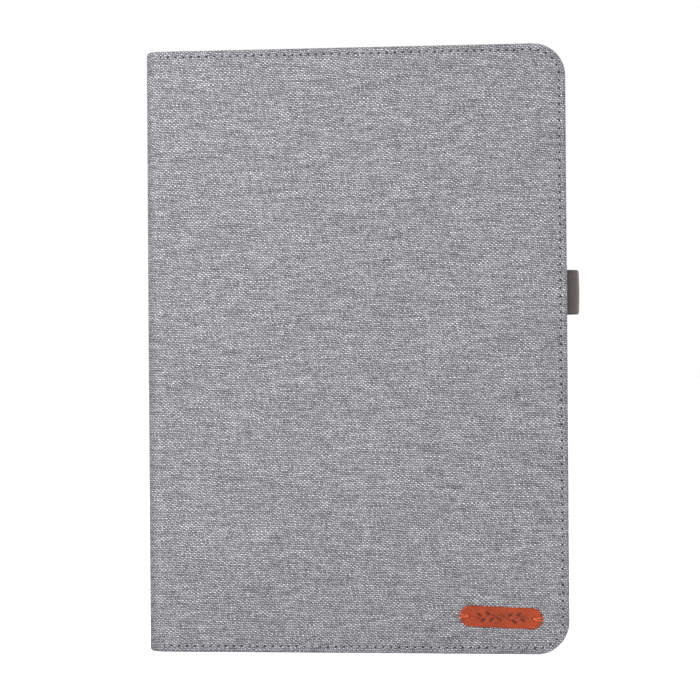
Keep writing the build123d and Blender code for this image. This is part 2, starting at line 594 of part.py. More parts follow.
with BuildPart() as key_domes:
    with BuildSketch(level(MEMBRANE)):
        with Locations((STACK_X, MIDDLE)):
            RectangleRounded(STACK_W, STACK_H, STACK_R)
    extrude(amount=MEMBRANE - SHEET)
    for places in KEYS.values():
        for x, z, size_x, size_z in places:
            width = min(1.0, size_x / PITCH)
            with BuildSketch(level(SHEET)):
                with Locations((x, z)):
                    Circle(DOME_R * width)
            with BuildSketch(level(DOME)):
                with Locations((x, z)):
                    Circle(DOME_TOP_R * width)
            loft()
finish(key_domes, "key_domes")

with BuildPart() as controller_board:
    with BuildSketch(level(PAN)):
        with Locations((CIRCUIT_X, CIRCUIT_Z)):
            Rectangle(CIRCUIT_W, CIRCUIT_H)
    extrude(amount=PAN - CIRCUIT_HIGH)
    for x, z, size_x, size_z, tall in CHIPS:
        with BuildSketch(level(CIRCUIT_HIGH)):
            with Locations((CIRCUIT_X + x, CIRCUIT_Z + z)):
                Rectangle(size_x, size_z)
        extrude(amount=-tall)
    with BuildSketch(level(CIRCUIT_HIGH)):
        with Locations((CIRCUIT_X + CIRCUIT_W / 2 - CONNECTOR_W / 2, TAIL_Z)):
            Rectangle(CONNECTOR_W, CONNECTOR_L)
        with Locations((STRIP_X, BUTTON_Z)):
            Rectangle(TACT_SWITCH, TACT_SWITCH)
    extrude(amount=-CONNECTOR_T)
finish(controller_board, "controller_board")

with BuildPart() as membrane_tail:
    with BuildSketch(level(MEMBRANE - TAIL_T)):
        with Locations(((CIRCUIT_X + CIRCUIT_W / 2 + KEYS_X0) / 2, TAIL_Z)):
            Rectangle(KEYS_X0 - CIRCUIT_X - CIRCUIT_W / 2, TAIL_W)
    extrude(amount=-TAIL_T)
finish(membrane_tail, "membrane_tail")

with BuildPart() as battery:
    with BuildSketch(level(PAN)):
        with Locations((BATTERY_X0 + BATTERY_W / 2, BATTERY_Z)):
            Rectangle(BATTERY_W, BATTERY_H)
    extrude(amount=PAN - BATTERY_HIGH)
    fillet(battery.edges().filter_by(Axis.Z), BATTERY_R)
finish(battery, "battery")

with BuildPart() as usb_c_socket:
    with BuildSketch(Plane.XY.offset(KEYBOARD_Z1)):
        with Locations((SOCKET_X, SOCKET_Y)):
            RectangleRounded(SOCKET_W, SOCKET_T, SOCKET_R)
    extrude(amount=-SOCKET_L)
    with BuildSketch(Plane.XY.offset(KEYBOARD_Z1)):
        with Locations((SOCKET_X, SOCKET_Y)):
            RectangleRounded(SOCKET_W - 2 * SOCKET_WALL, SOCKET_T - 2 * SOCKET_WALL, SOCKET_R - SOCKET_WALL)
    extrude(amount=SOCKET_WALL - SOCKET_L, mode=Mode.SUBTRACT)
    with BuildSketch(Plane.XY.offset(KEYBOARD_Z1 - SOCKET_L + SOCKET_WALL)):
        with Locations((SOCKET_X, SOCKET_Y)):
            Rectangle(TONGUE_W, TONGUE_T)
    extrude(amount=TONGUE_L)
finish(usb_c_socket, "usb_c_socket")

with BuildPart() as status_light_pipe:
    with BuildSketch(level(DECK_LOW - LIGHT_BAR_T)):
        with Locations((STRIP_X, LIGHT_ZS[1])):
            Rectangle(LIGHT_BAR_W, LIGHT_ZS[0] - LIGHT_ZS[2] + LIGHT_BAR_W)
    extrude(amount=-LIGHT_BAR_T)
    with BuildSketch(level(DECK_LOW)):
        with Locations(*[(STRIP_X, z) for z in LIGHT_ZS]):
            Circle(LIGHT_R)
    extrude(amount=DECK_LOW - DECK_HIGH)
finish(status_light_pipe, "status_light_pipe")

with BuildPart() as pair_button:
    with BuildSketch(level(FLANGE_LOW)):
        with Locations((STRIP_X, BUTTON_Z)):
            Circle(BUTTON_FLANGE_R)
    extrude(amount=FLANGE_LOW - FLANGE_HIGH)
    with BuildSketch(level(FLANGE_HIGH)):
        with Locations((STRIP_X, BUTTON_Z)):
            Circle(BUTTON_R)
    extrude(amount=FLANGE_HIGH - BUTTON_TOP)
    fillet(pair_button.faces().sort_by(Axis.Y)[-1].edges(), BUTTON_EDGE_R)
finish(pair_button, "pair_button")

with BuildPart() as power_switch:
    switch_y = Y_FRONT + PANEL_T + SWITCH_LEVEL
    inner_z = KEYBOARD_Z1 - SHELL_WALL - SLIP
    with Locations((SWITCH_X, switch_y, (inner_z + KEYBOARD_Z1 + SWITCH_OUT) / 2)):
        Box(SWITCH_W, SWITCH_T, KEYBOARD_Z1 + SWITCH_OUT - inner_z)
    with Locations((SWITCH_X, switch_y, inner_z - SWITCH_FLANGE / 2)):
        Box(SWITCH_W + 2 * SWITCH_RIM, SWITCH_T + 2 * SWITCH_RIM, SWITCH_FLANGE)
    chamfer(power_switch.faces().sort_by(Axis.Z)[-1].edges(), SWITCH_BEVEL)
finish(power_switch, "power_switch")

for name, places in KEYS.items():
    finish(key_group(places), name)
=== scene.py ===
"""Tablet keyboard case: woven folio, seams, leather tag, pen loop, linings, domes, key legends and stage.

Everything is in metres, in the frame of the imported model. The closed case stands on its lower edge:
+Z runs up the spine, +X from the spine to the free edge, and the front cover faces -Y.
"""

import json
import random
from math import ceil, cos, hypot, pi, radians, sin

import bmesh
import bpy
import numpy as np
from mathutils import Matrix, Vector


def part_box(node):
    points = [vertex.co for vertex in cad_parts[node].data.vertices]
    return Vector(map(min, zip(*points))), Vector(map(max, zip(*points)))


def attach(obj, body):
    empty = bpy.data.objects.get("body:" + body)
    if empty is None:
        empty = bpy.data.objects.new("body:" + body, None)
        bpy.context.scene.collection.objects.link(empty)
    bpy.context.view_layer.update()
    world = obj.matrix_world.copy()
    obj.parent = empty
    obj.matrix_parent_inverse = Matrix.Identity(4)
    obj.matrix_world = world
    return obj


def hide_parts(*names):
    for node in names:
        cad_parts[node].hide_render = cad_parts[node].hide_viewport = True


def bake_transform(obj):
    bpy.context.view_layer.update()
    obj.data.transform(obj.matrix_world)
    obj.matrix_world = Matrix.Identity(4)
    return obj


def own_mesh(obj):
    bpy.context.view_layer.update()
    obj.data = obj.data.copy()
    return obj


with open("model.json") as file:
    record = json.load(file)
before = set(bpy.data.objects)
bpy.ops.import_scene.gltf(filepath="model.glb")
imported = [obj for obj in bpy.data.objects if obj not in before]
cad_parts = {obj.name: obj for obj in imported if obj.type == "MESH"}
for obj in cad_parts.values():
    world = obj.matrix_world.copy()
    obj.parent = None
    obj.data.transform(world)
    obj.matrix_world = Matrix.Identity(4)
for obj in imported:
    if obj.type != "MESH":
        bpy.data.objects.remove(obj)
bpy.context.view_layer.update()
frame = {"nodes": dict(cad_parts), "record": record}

bl_info = {
    "name": "Tablet Keyboard Case",
    "version": (1, 0, 0),
    "blender": (4, 5, 0),
    "location": "3D View > Sidebar > Case",
    "description": "Cloth, seams, tag, pen loop, linings and materials of a folio with a keyboard",
    "category": "Object",
}

MM = 0.001
FRONT, BACK = 1, -1  # the two sides of the spine that the cloth runs to
HEM_RISE = 0.06 * MM  # hems stand this far proud of the board
LINING_RISE = 0.12 * MM  # linings lie on the hems
RIB = 0.95 * MM  # from one rib of the elastic webbing to the next
CROSS_RIB = 0.7 * MM  # and from one warp thread to the next across it


def corners(node):
    """The lowest and highest corner of a CAD node, as vectors."""
    low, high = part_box(node)
    return Vector(low), Vector(high)


X_SPINE = corners("spine_skin")[0].x
X_FOLD, X_EDGE = corners("front_skin")[0].x, corners("front_skin")[1].x
Y_FRONT, Y_BACK = corners("front_skin")[0].y, corners("back_skin")[1].y
HEIGHT = corners("front_skin")[1].z
PANEL_T = corners("front_skin")[1].y - Y_FRONT
SPINE_R = X_FOLD - X_SPINE
Y_MIDDLE = (Y_FRONT + Y_BACK) / 2
SPINE_HALF = (Y_BACK - Y_FRONT) / 2 - SPINE_R
ARC = SPINE_R * pi / 2
FOLD_U = SPINE_HALF + ARC  # along the cloth from the spine's middle to where a cover starts
EDGE_U = FOLD_U + X_EDGE - X_FOLD
STAND_LOW, STAND_HIGH = (corner.x for corner in corners("kickstand_fold_strip"))
STAND_U0, STAND_U1 = FOLD_U + STAND_LOW - X_FOLD, FOLD_U + STAND_HIGH - X_FOLD


def linear(code):
    """An sRGB hex colour as linear red, green, blue."""
    parts = [int(code[i : i + 2], 16) / 255 for i in (1, 3, 5)]
    return tuple(c / 12.92 if c <= 0.04045 else ((c + 0.055) / 1.055) ** 2.4 for c in parts)


# --- Settings -------------------------------------------------------------------------------------
def length(name, description, millimetres):
    """A length setting that starts at this many millimetres."""
    return bpy.props.FloatProperty(
        name=name, description=description, default=millimetres * MM, min=0, unit="LENGTH", precision=5
    )


def colour(name, description, code):
    """A colour setting that starts at this sRGB colour."""
    return bpy.props.FloatVectorProperty(
        name=name, description=description, default=linear(code), min=0, max=1, subtype="COLOR"
    )


class CaseSizes(bpy.types.PropertyGroup):
    """Sizes that a maker of the case would change."""

    corner: length("Corner", "Radius of the two corners at the free edge", 13.8)
    hem: length("Hem", "Cloth turned in round each cover's edge", 5.0)
    seam_inset: length("Seam inset", "From a cover's edge to its line of stitches", 2.7)
    pitch: length("Stitch pitch", "From one needle hole to the next", 3.35)
    thread: length("Thread", "Radius of the sewing thread", 0.24)
    groove: length("Groove", "How far the seam pulls the cloth in", 0.22)
    warp: length("Warp spacing", "Between the threads that run up the case", 0.874)
    weft: length("Weft spacing", "Between the threads that run across the case", 0.729)
    legend: length("Legend", "Height of the letters on the keys", 4.6)


class CaseColours(bpy.types.PropertyGroup):
    """Colours that a maker of the case would change."""

    yarn: colour("Yarn", "Tint that the heathered cloth's light and dark yarns share", "#D3D2D8")
    lining: colour("Lining", "Microfibre inside the covers", "#3F4044")
    tag: colour("Tag", "Leather tag", "#822D0C")
    loop: colour("Loop", "Elastic pen loop", "#4B4643")
    shell: colour("Shell", "Keyboard housing", "#3E3F44")
    keys: colour("Keys", "Keycaps", "#17181A")
    tray: colour("Tray", "Moulded tablet tray", "#222326")


def sizes():
    return bpy.context.scene.case_sizes


def colours():
    return bpy.context.scene.case_colours


# --- Materials ------------------------------------------------------------------------------------
def node(tree, kind, links=(), **settings):
    """Adds one node. links gives each input's source socket or value, and settings its own properties."""
    made = tree.nodes.new(kind)
    for name, value in settings.items():
        setattr(made, name, value)
    for socket, value in dict(links).items():
        if isinstance(value, bpy.types.NodeSocket):
            tree.links.new(value, made.inputs[socket])
        else:
            made.inputs[socket].default_value = value
    return made


def maths(tree, operation, *values):
    """One arithmetic step on sockets or numbers."""
    return node(tree, "ShaderNodeMath", enumerate(values), operation=operation).outputs[0]


def new_material(name):
    """An empty node material and its tree, with a surface shader joined to the output."""
    material = bpy.data.materials.new(name)
    material.use_nodes = True
    tree = material.node_tree
    tree.nodes.clear()
    shader = node(tree, "ShaderNodeBsdfPrincipled")
    node(tree, "ShaderNodeOutputMaterial", {"Surface": shader.outputs[0]})
    return material, tree, shader


def opaque(value):
    """A colour with full alpha, as colour sockets take it."""
    return (*value, 1.0)


def bump(tree, shader, height, distance, strength=1.0):
    """Joins a height, in the shader's own units of distance, to its normal."""
    made = node(tree, "ShaderNodeBump", {"Height": height, "Distance": distance, "Strength": strength})
    tree.links.new(made.outputs[0], shader.inputs["Normal"])


def ramp(tree, factor, *stops):
    """A colour ramp from (place, colour) stops."""
    made = node(tree, "ShaderNodeValToRGB", {"Fac": factor})
    points = made.color_ramp.elements
    while len(points) < len(stops):
        points.new(0.5)
    for point, (place, value) in zip(points, stops):
        point.position = place
        point.color = opaque(value)
    return made.outputs[0]


def woven_polyester():
    """Heathered polyester canvas in plain weave: pale weft over darker warp, slanted a little by the twist.

    The threads are as coarse as the cloth looks from a distance, and the real ones may well be finer.
    """
    material, tree, shader = new_material("woven_polyester_canvas")
    flat = node(tree, "ShaderNodeUVMap", uv_map="Cloth").outputs[0]
    wander = node(tree, "ShaderNodeTexNoise", {"Vector": flat, "Scale": 1 / (14 * MM), "Detail": 2.0})
    stray = (1.6 * MM, 1.6 * MM, 0.0)  # the threads aren't laid quite straight
    links = {0: wander.outputs["Color"], 1: stray, 2: flat}
    cloth = node(tree, "ShaderNodeVectorMath", links, operation="MULTIPLY_ADD").outputs[0]
    place = node(tree, "ShaderNodeSeparateXYZ", {0: cloth})
    u, v = place.outputs[0], place.outputs[1]

    def thread_count(along, across, spacing, lean):
        """Counts threads across the cloth. lean is how far they stray from square, as on a real roll."""
        straight = maths(tree, "MULTIPLY", along, cos(lean) / spacing)
        return maths(tree, "MULTIPLY_ADD", across, sin(lean) / spacing, straight)

    warp = thread_count(u, v, sizes().warp, radians(8.2))
    weft = thread_count(v, u, sizes().weft, radians(-1.5))
    warp_number, weft_number = maths(tree, "FLOOR", warp), maths(tree, "FLOOR", weft)
    warp_over = maths(tree, "FLOORED_MODULO", maths(tree, "ADD", warp_number, weft_number), 2.0)
    from_warp = maths(tree, "SUBTRACT", maths(tree, "SUBTRACT", warp, warp_number), 0.5)
    from_weft = maths(tree, "SUBTRACT", maths(tree, "SUBTRACT", weft, weft_number), 0.5)

    def crown(across, along):
        """The rounded top of one thread where it lies over: high in its middle, low where it dives under."""
        slanted = maths(tree, "MULTIPLY_ADD", along, 0.3, across)
        inside = maths(tree, "MINIMUM", maths(tree, "ABSOLUTE", slanted), 0.5)
        ridge = maths(tree, "COSINE", maths(tree, "MULTIPLY", inside, pi))
        dive = maths(tree, "COSINE", maths(tree, "MULTIPLY", along, pi))
        return maths(tree, "MULTIPLY", ridge, maths(tree, "MULTIPLY_ADD", dive, 0.45, 0.55))

    def yarn(number, along, slub, seed):
        """How pale one thread is along its length: slubs about this long, different in every thread."""
        links = {0: maths(tree, "MULTIPLY", number, 7.31), 1: maths(tree, "DIVIDE", along, slub), 2: seed}
        spot = node(tree, "ShaderNodeCombineXYZ", links).outputs[0]
        return node(tree, "ShaderNodeTexNoise", {"Vector": spot, "Scale": 1.0, "Detail": 1.0}).outputs[0]

    def pick(low, high):
        """low where the weft lies over, high where the warp does."""
        return node(tree, "ShaderNodeMix", {"Factor": warp_over, "A": low, "B": high}).outputs[0]

    height = pick(crown(from_weft, from_warp), crown(from_warp, from_weft))
    pale = maths(tree, "MULTIPLY_ADD", yarn(weft_number, u, 9 * MM, 3.7), 0.48, 0.574 - 0.24)
    dark = maths(tree, "MULTIPLY_ADD", yarn(warp_number, v, 7 * MM, 11.2), 0.20, 0.478 - 0.10)
    cell = node(tree, "ShaderNodeCombineXYZ", {0: warp_number, 1: weft_number}).outputs[0]
    scatter = node(tree, "ShaderNodeTexWhiteNoise", {"Vector": cell}).outputs[0]
    links = {"Vector": cloth, "Scale": 1 / (0.36 * MM), "Detail": 2.0}  # loose fibres on the yarn
    fuzz = node(tree, "ShaderNodeTexNoise", links).outputs[0]
    slant = maths(tree, "COSINE", maths(tree, "MULTIPLY", maths(tree, "ADD", warp, weft), pi))
    # painted shade: the cloth is darker round the bend into the spine and on the spine
    bend_shade = node(tree, "ShaderNodeAttribute", attribute_name="bend_shade").outputs["Fac"]
    row = maths(tree, "COSINE", maths(tree, "MULTIPLY", from_weft, 2 * pi))  # the weft stands in clear rows, with painted shade in the gaps between them
    top = maths(tree, "POWER", height, 0.7)  # a thread is mostly crown, with narrow gaps beside it; painted shade makes the crowns lighter and the gaps darker
    tone = pick(pale, dark)
    for value, share, middle in (
        (top, 0.42, 0.68), (row, 0.08, 0.0), (scatter, 0.15, 0.5), (fuzz, 0.62, 0.5), (slant, -0.05, 0.0),
        # painted shade round the spine's bend
        (bend_shade, -0.08, 0.0),
    ):
        tone = maths(tree, "ADD", tone, maths(tree, "MULTIPLY_ADD", value, share, -share * middle))
    light = maths(tree, "POWER", maths(tree, "MAXIMUM", tone, 0.02), 2.2)  # tone is a perceived lightness
    links = {0: colours().yarn, "Scale": light}
    tint = node(tree, "ShaderNodeVectorMath", links, operation="SCALE").outputs[0]
    tree.links.new(tint, shader.inputs["Base Color"])
    bump(tree, shader, maths(tree, "MULTIPLY_ADD", fuzz, 0.3, height), 0.08 * MM, 0.6)
    shader.inputs["Roughness"].default_value = 0.95
    shader.inputs["Specular IOR Level"].default_value = 0.2
    return material


def grained(name, value, roughness, grain, depth, ior=1.5, spread=0.12, metallic=0.0, detail=3.0, coat=0.0):
    """A material with a fine irregular grain of this size and depth, whose colour varies a little with it."""
    material, tree, shader = new_material(name)
    place = node(tree, "ShaderNodeTexCoord").outputs["Object"]
    fine = {"Vector": place, "Scale": 1 / grain, "Detail": detail}
    cloudy = {"Vector": place, "Scale": 1 / (18 * MM), "Detail": 2.0}  # wide, faint patches
    noise = node(tree, "ShaderNodeTexNoise", fine).outputs[0]
    wide = node(tree, "ShaderNodeTexNoise", cloudy).outputs[0]
    blend = maths(tree, "MULTIPLY_ADD", wide, 0.5, maths(tree, "MULTIPLY", noise, 0.5))
    dark = tuple(c * (1 - spread) for c in value)
    light = tuple(min(1.0, c * (1 + spread)) for c in value)
    tint = ramp(tree, blend, (0.35, dark), (0.65, light))
    tree.links.new(tint, shader.inputs["Base Color"])
    links = {"Value": noise, "To Min": max(roughness - 0.06, 0), "To Max": roughness + 0.06}
    rough = node(tree, "ShaderNodeMapRange", links)
    tree.links.new(rough.outputs[0], shader.inputs["Roughness"])
    bump(tree, shader, noise, depth)
    shader.inputs["Metallic"].default_value = metallic
    if not metallic:
        shader.inputs["IOR"].default_value = ior
    shader.inputs["Coat Weight"].default_value = coat
    shader.inputs["Coat Roughness"].default_value = 0.25
    return material


def ribbed_elastic():
    """Woven elastic webbing: fine ribs side by side, matt."""
    material, tree, shader = new_material("ribbed_elastic_webbing")
    place = node(tree, "ShaderNodeUVMap", uv_map="Cloth").outputs[0]
    parts = node(tree, "ShaderNodeSeparateXYZ", {0: place})

    def ribs(along, spacing):
        return maths(tree, "ABSOLUTE", maths(tree, "SINE", maths(tree, "MULTIPLY", along, pi / spacing)))

    weave = maths(
        tree,
        "MULTIPLY_ADD",
        ribs(parts.outputs[0], RIB),
        0.65,
        maths(tree, "MULTIPLY", ribs(parts.outputs[1], CROSS_RIB), 0.35),
    )
    links = {"Vector": place, "Scale": 1 / (0.8 * MM), "Detail": 3.0}
    noise = node(tree, "ShaderNodeTexNoise", links).outputs[0]
    tone = maths(tree, "MULTIPLY_ADD", noise, 0.5, maths(tree, "MULTIPLY", weave, 0.6))
    base = Vector(colours().loop)
    tint = ramp(tree, tone, (0.25, base * 0.45), (0.75, base * 1.35))
    tree.links.new(tint, shader.inputs["Base Color"])
    bump(tree, shader, weave, 0.14 * MM)
    shader.inputs["Roughness"].default_value = 0.85
    return material


def glossy_leather():
    """Coated split leather, hot-pressed: satin orange-brown, darker in the pressed lines and at the rim."""
    material, tree, shader = new_material("pressed_coated_leather")
    place = node(tree, "ShaderNodeTexCoord").outputs["Object"]
    press = node(tree, "ShaderNodeAttribute", attribute_name="press").outputs["Fac"]
    grain = node(
        tree, "ShaderNodeTexVoronoi", {"Vector": place, "Scale": 1 / (0.55 * MM)}, feature="DISTANCE_TO_EDGE"
    ).outputs["Distance"]
    links = {"Vector": place, "Scale": 1 / (4 * MM), "Detail": 3.0}
    cloud = node(tree, "ShaderNodeTexNoise", links).outputs[0]
    base = Vector(colours().tag)
    face = ramp(tree, cloud, (0.35, base * 0.86), (0.65, base * 1.16))
    worn = node(
        tree,
        "ShaderNodeMix",
        {"Factor": press, "A": face, "B": opaque(base * 0.28)},
        data_type="RGBA",
    ).outputs["Result"]
    tree.links.new(worn, shader.inputs["Base Color"])
    bump(tree, shader, maths(tree, "MINIMUM", grain, 0.2), 0.12 * MM, 0.6)
    shader.inputs["Roughness"].default_value = 0.36
    shader.inputs["Specular IOR Level"].default_value = 0.2  # low, so a white room doesn't wash the tan out
    shader.inputs["Coat Weight"].default_value = 0.08
    shader.inputs["Coat Roughness"].default_value = 0.22
    return material


def spun_thread(name, value, twist):
    """Spun and twisted sewing thread: fine slanting strands across each stitch."""
    material, tree, shader = new_material(name)
    place = node(tree, "ShaderNodeTexCoord").outputs["Object"]
    wave = node(
        tree,
        "ShaderNodeTexWave",
        {"Vector": place, "Scale": 1 / (twist * 6), "Distortion": 1.5},
        bands_direction="DIAGONAL",
    ).outputs["Fac"]
    base = Vector(value)
    tree.links.new(ramp(tree, wave, (0.1, base * 0.72), (0.9, base * 1.15)), shader.inputs["Base Color"])
    bump(tree, shader, wave, 0.06 * MM)
    shader.inputs["Roughness"].default_value = 0.8
    return material


def make_materials():
    """Every finish of the case by its material slot."""
    paint = colours()
    steel, nickel = linear("#9A9B9C"), linear("#C3BEB2")
    return {
        "grey_fabric": woven_polyester(),
        # Polyester thread, dyed to match the cloth.
        "grey_thread": spun_thread("spun_polyester_thread", linear("#86858C"), 0.35 * MM),
        # Microfibre suede, brushed: no shine, with a short uneven nap.
        "lining": grained("brushed_microfibre", paint.lining, 0.95, 0.35 * MM, 0.08 * MM, spread=0.25),
        # Grey board, pressed from fibre: matt and speckled.
        "fibre_board": grained(
            "pressed_fibre_board", linear("#8B7F6C"), 0.9, 0.6 * MM, 0.03 * MM, spread=0.2
        ),
        # ABS sheet, moulded against a fine spark-eroded tool: even satin.
        "tray_plate_plastic": grained(
            "moulded_abs_plate", linear("#202022"), 0.5, 0.3 * MM, 0.012 * MM, 1.54
        ),
        # Thermoplastic polyurethane, moulded: dark satin with a soft highlight.
        "tray_rubber": grained("moulded_tpu", paint.tray, 0.46, 0.45 * MM, 0.012 * MM, 1.5),
        # Nickel plate on sintered magnets: warm, bright, slightly orange-peeled.
        "nickel_plate": grained("nickel_plated_magnet", nickel, 0.25, 0.8 * MM, 0.006 * MM, metallic=1.0),
        # Cold-rolled steel, stamped: dull grey metal with a faint grain.
        "steel": grained("stamped_steel", steel, 0.38, 0.25 * MM, 0.006 * MM, metallic=1.0),
        "elastic": ribbed_elastic(),
        "leather": glossy_leather(),
        # Waxed linen thread: orange, a little glossy.
        "orange_thread": spun_thread("waxed_orange_thread", linear("#B8502A"), 0.4 * MM),
        # ABS, moulded with a spark texture: dry dark grey.
        "shell_plastic": grained("spark_textured_abs", paint.shell, 0.55, 0.22 * MM, 0.015 * MM, 1.54),
        # ABS keycaps, moulded and soft-touch coated: nearly black, satin.
        "key_plastic": grained("soft_touch_keycap", paint.keys, 0.5, 0.18 * MM, 0.006 * MM, 1.52),
        # Printed polyester film: pale and glossy.
        "film": grained("printed_polyester_film", linear("#C9CCBE"), 0.22, 2.5 * MM, 0.004 * MM, 1.6),
        # Silicone, moulded: milky and matt.
        "dome_rubber": grained("moulded_silicone", linear("#C6C5BC"), 0.55, 0.5 * MM, 0.01 * MM, 1.42),
        # Glass-epoxy board under green solder mask: glossy with a fine cloth print-through.
        "circuit": grained("solder_masked_board", linear("#1D5A34"), 0.28, 0.5 * MM, 0.01 * MM, 1.55),
        # Aluminium-laminate pouch: silvery, slightly crinkled.
        "battery_foil": grained("aluminium_laminate_pouch", steel, 0.35, 3 * MM, 0.05 * MM, metallic=1.0),
        # Polycarbonate, moulded clear and frosted: a pale window.
        "light_pipe": grained("frosted_polycarbonate", linear("#DDE2E2"), 0.3, 0.4 * MM, 0.006 * MM, 1.58),
        # Acrylic foam tape: matt grey.
        "adhesive": grained("acrylic_foam_tape", linear("#6E6E6E"), 0.8, 0.4 * MM, 0.02 * MM, 1.48),
    }


MATERIALS = {}


# --- Mesh helpers ---------------------------------------------------------------------------------
def add_object(name, points, faces, slot_name, cloth=None, bend_shade=None, merge=False):
    """A smooth mesh object with one material slot.

    cloth gives each point its place on the flat cloth, and the next argument a painted shade for each point, by
    how far round its bend the cloth is there.
    """
    mesh = bpy.data.meshes.new(name)
    mesh.from_pydata([tuple(p) for p in points], [], [tuple(f) for f in faces])
    if cloth is not None:
        layer = mesh.uv_layers.new(name="Cloth")
        index = np.empty(len(mesh.loops), int)
        mesh.loops.foreach_get("vertex_index", index)
        layer.data.foreach_set("uv", np.asarray(cloth, np.float32)[index].ravel())
    if bend_shade is not None:
        bend_shade_layer = mesh.attributes.new("bend_shade", "FLOAT", "POINT")
        bend_shade_layer.data.foreach_set("value", np.asarray(bend_shade, np.float32))
    if merge:
        work = bmesh.new()
        work.from_mesh(mesh)
        bmesh.ops.remove_doubles(work, verts=work.verts, dist=0.005 * MM)
        bmesh.ops.dissolve_degenerate(work, edges=work.edges, dist=0.001 * MM)
        work.to_mesh(mesh)
        work.free()
    mesh.polygons.foreach_set("use_smooth", [True] * len(mesh.polygons))
    mesh.materials.append(MATERIALS[slot_name])
    obj = bpy.data.objects.new(name, mesh)
    bpy.context.scene.collection.objects.link(obj)
    return obj


def grid_faces(rows, columns, first=0, flip=False):
    """Quads over a grid of points stored row by row."""
    faces = []
    for r in range(rows - 1):
        for c in range(columns - 1):
            a = first + r * columns + c
            face = (a, a + 1, a + columns + 1, a + columns)
            faces.append(face[::-1] if flip else face)
    return faces


def tube(path, radius, sides, flat=1.0, first=0):
    """Rings round a path of points, closed at both ends. Returns its points and faces."""
    points, faces = [], []
    path = [Vector(p) for p in path]
    for i, spot in enumerate(path):
        ahead = (path[min(i + 1, len(path) - 1)] - path[max(i - 1, 0)]).normalized()
        side = ahead.cross(Vector((0, 1, 0))).normalized()
        up = side.cross(ahead)
        for k in range(sides):
            angle = 2 * pi * k / sides
            points.append(spot + side * radius * cos(angle) + up * radius * flat * sin(angle))
    for i in range(len(path) - 1):
        for k in range(sides):
            a, b = first + i * sides + k, first + i * sides + (k + 1) % sides
            faces.append((a, b, b + sides, a + sides))
    faces.append([first + k for k in range(sides)][::-1])
    faces.append([first + (len(path) - 1) * sides + k for k in range(sides)])
    return points, faces


def wrapped(u, z, depth, side):
    """Where a point lies that is u along the cloth from the spine's middle and this deep under its face."""
    u, z, depth = (np.asarray(a, float) for a in np.broadcast_arrays(u, z, depth))
    turn = np.clip((u - SPINE_HALF) / SPINE_R, 0, pi / 2)
    beyond = np.maximum(u - FOLD_U, 0)
    x = X_FOLD - (SPINE_R - depth) * np.cos(turn) + beyond
    y = Y_MIDDLE - side * (np.minimum(u, SPINE_HALF) + (SPINE_R - depth) * np.sin(turn))
    return np.stack([x, y, z], axis=-1)


# --- Cloth ----------------------------------------------------------------------------------------
def edge_profile(thickness, hem):
    """A turned edge as (inset, depth, place on the cloth beyond the edge), from the hem's end to the face."""
    r = thickness / 2
    rows = [(s, thickness, (pi - 2) * r + s) for s in (hem, 2 * r)]
    for k in range(9):
        angle = pi * (1 - k / 8)
        rows.append((r - r * sin(angle), r - r * cos(angle), r * angle - r))
    return rows


def seam_pull(inset, along):
    """How far the seam pulls the cloth in at this inset and this far along it, deepest at the holes."""
    near = np.exp(-(((inset - sizes().seam_inset) / (0.55 * MM)) ** 2))
    swell = np.exp(-(((inset - sizes().seam_inset / 2) / (0.8 * MM)) ** 2))
    holes = 0.65 + 0.35 * np.cos(2 * pi * along / sizes().pitch)
    return sizes().groove * near * holes - 0.05 * MM * swell * (1.2 - holes)


def bend_shade_amount(u):
    """How far round its bend the cloth is, from 0 on the covers to 1 at the spine. It sets a painted shade that
    darkens the cloth there.
    """
    turn = np.clip((u - SPINE_HALF) / SPINE_R, 0, pi / 2)
    return np.clip((radians(76) - turn) / radians(30), 0, 1)


def face_insets():
    """Insets of the rows between a cover's turned edge and the inside of its corner, closest at the seam."""
    inset = sizes().seam_inset
    return [1.6 * MM, inset - 0.7 * MM, inset - 0.35 * MM, inset, inset + 0.35 * MM, inset + 0.7 * MM,
            inset + 1.3 * MM, 5.5 * MM, 8 * MM, 10.5 * MM]


def cover_outline(u0, u1, thirds=3):
    """Columns round a cover's edge from u0 along the top, down the free edge and back along the bottom.

    Each is (u, z, inward u, inward z, distance along the seam), with thirds columns to a stitch.
    """
    radius, inset, step = sizes().corner, sizes().seam_inset, sizes().pitch / thirds
    across, up = u1 - radius - u0, HEIGHT - 2 * radius
    n_across, n_up = round(across / step), round(up / step)
    turn_length = (radius - inset) * pi / 2
    n_turn = round(turn_length / step)
    columns = [(u0 + across * i / n_across, HEIGHT, 0, -1, across * i / n_across)
               for i in range(n_across + 1)]
    far = across
    for i in range(1, n_turn):
        a = pi / 2 * (1 - i / n_turn)
        spot = (u1 - radius + radius * cos(a), HEIGHT - radius + radius * sin(a))
        columns.append((*spot, -cos(a), -sin(a), far + turn_length * i / n_turn))
    far += turn_length
    columns += [(u1, HEIGHT - radius - up * i / n_up, -1, 0, far + up * i / n_up) for i in range(n_up + 1)]
    far += up
    for i in range(1, n_turn):
        a = -pi / 2 * i / n_turn
        spot = (u1 - radius + radius * cos(a), radius + radius * sin(a))
        columns.append((*spot, -cos(a), -sin(a), far + turn_length * i / n_turn))
    far += turn_length
    columns += [(u1 - radius - across * i / n_across, 0, 0, 1, far + across * i / n_across)
                for i in range(n_across + 1)]
    return np.array(columns), n_across, n_up


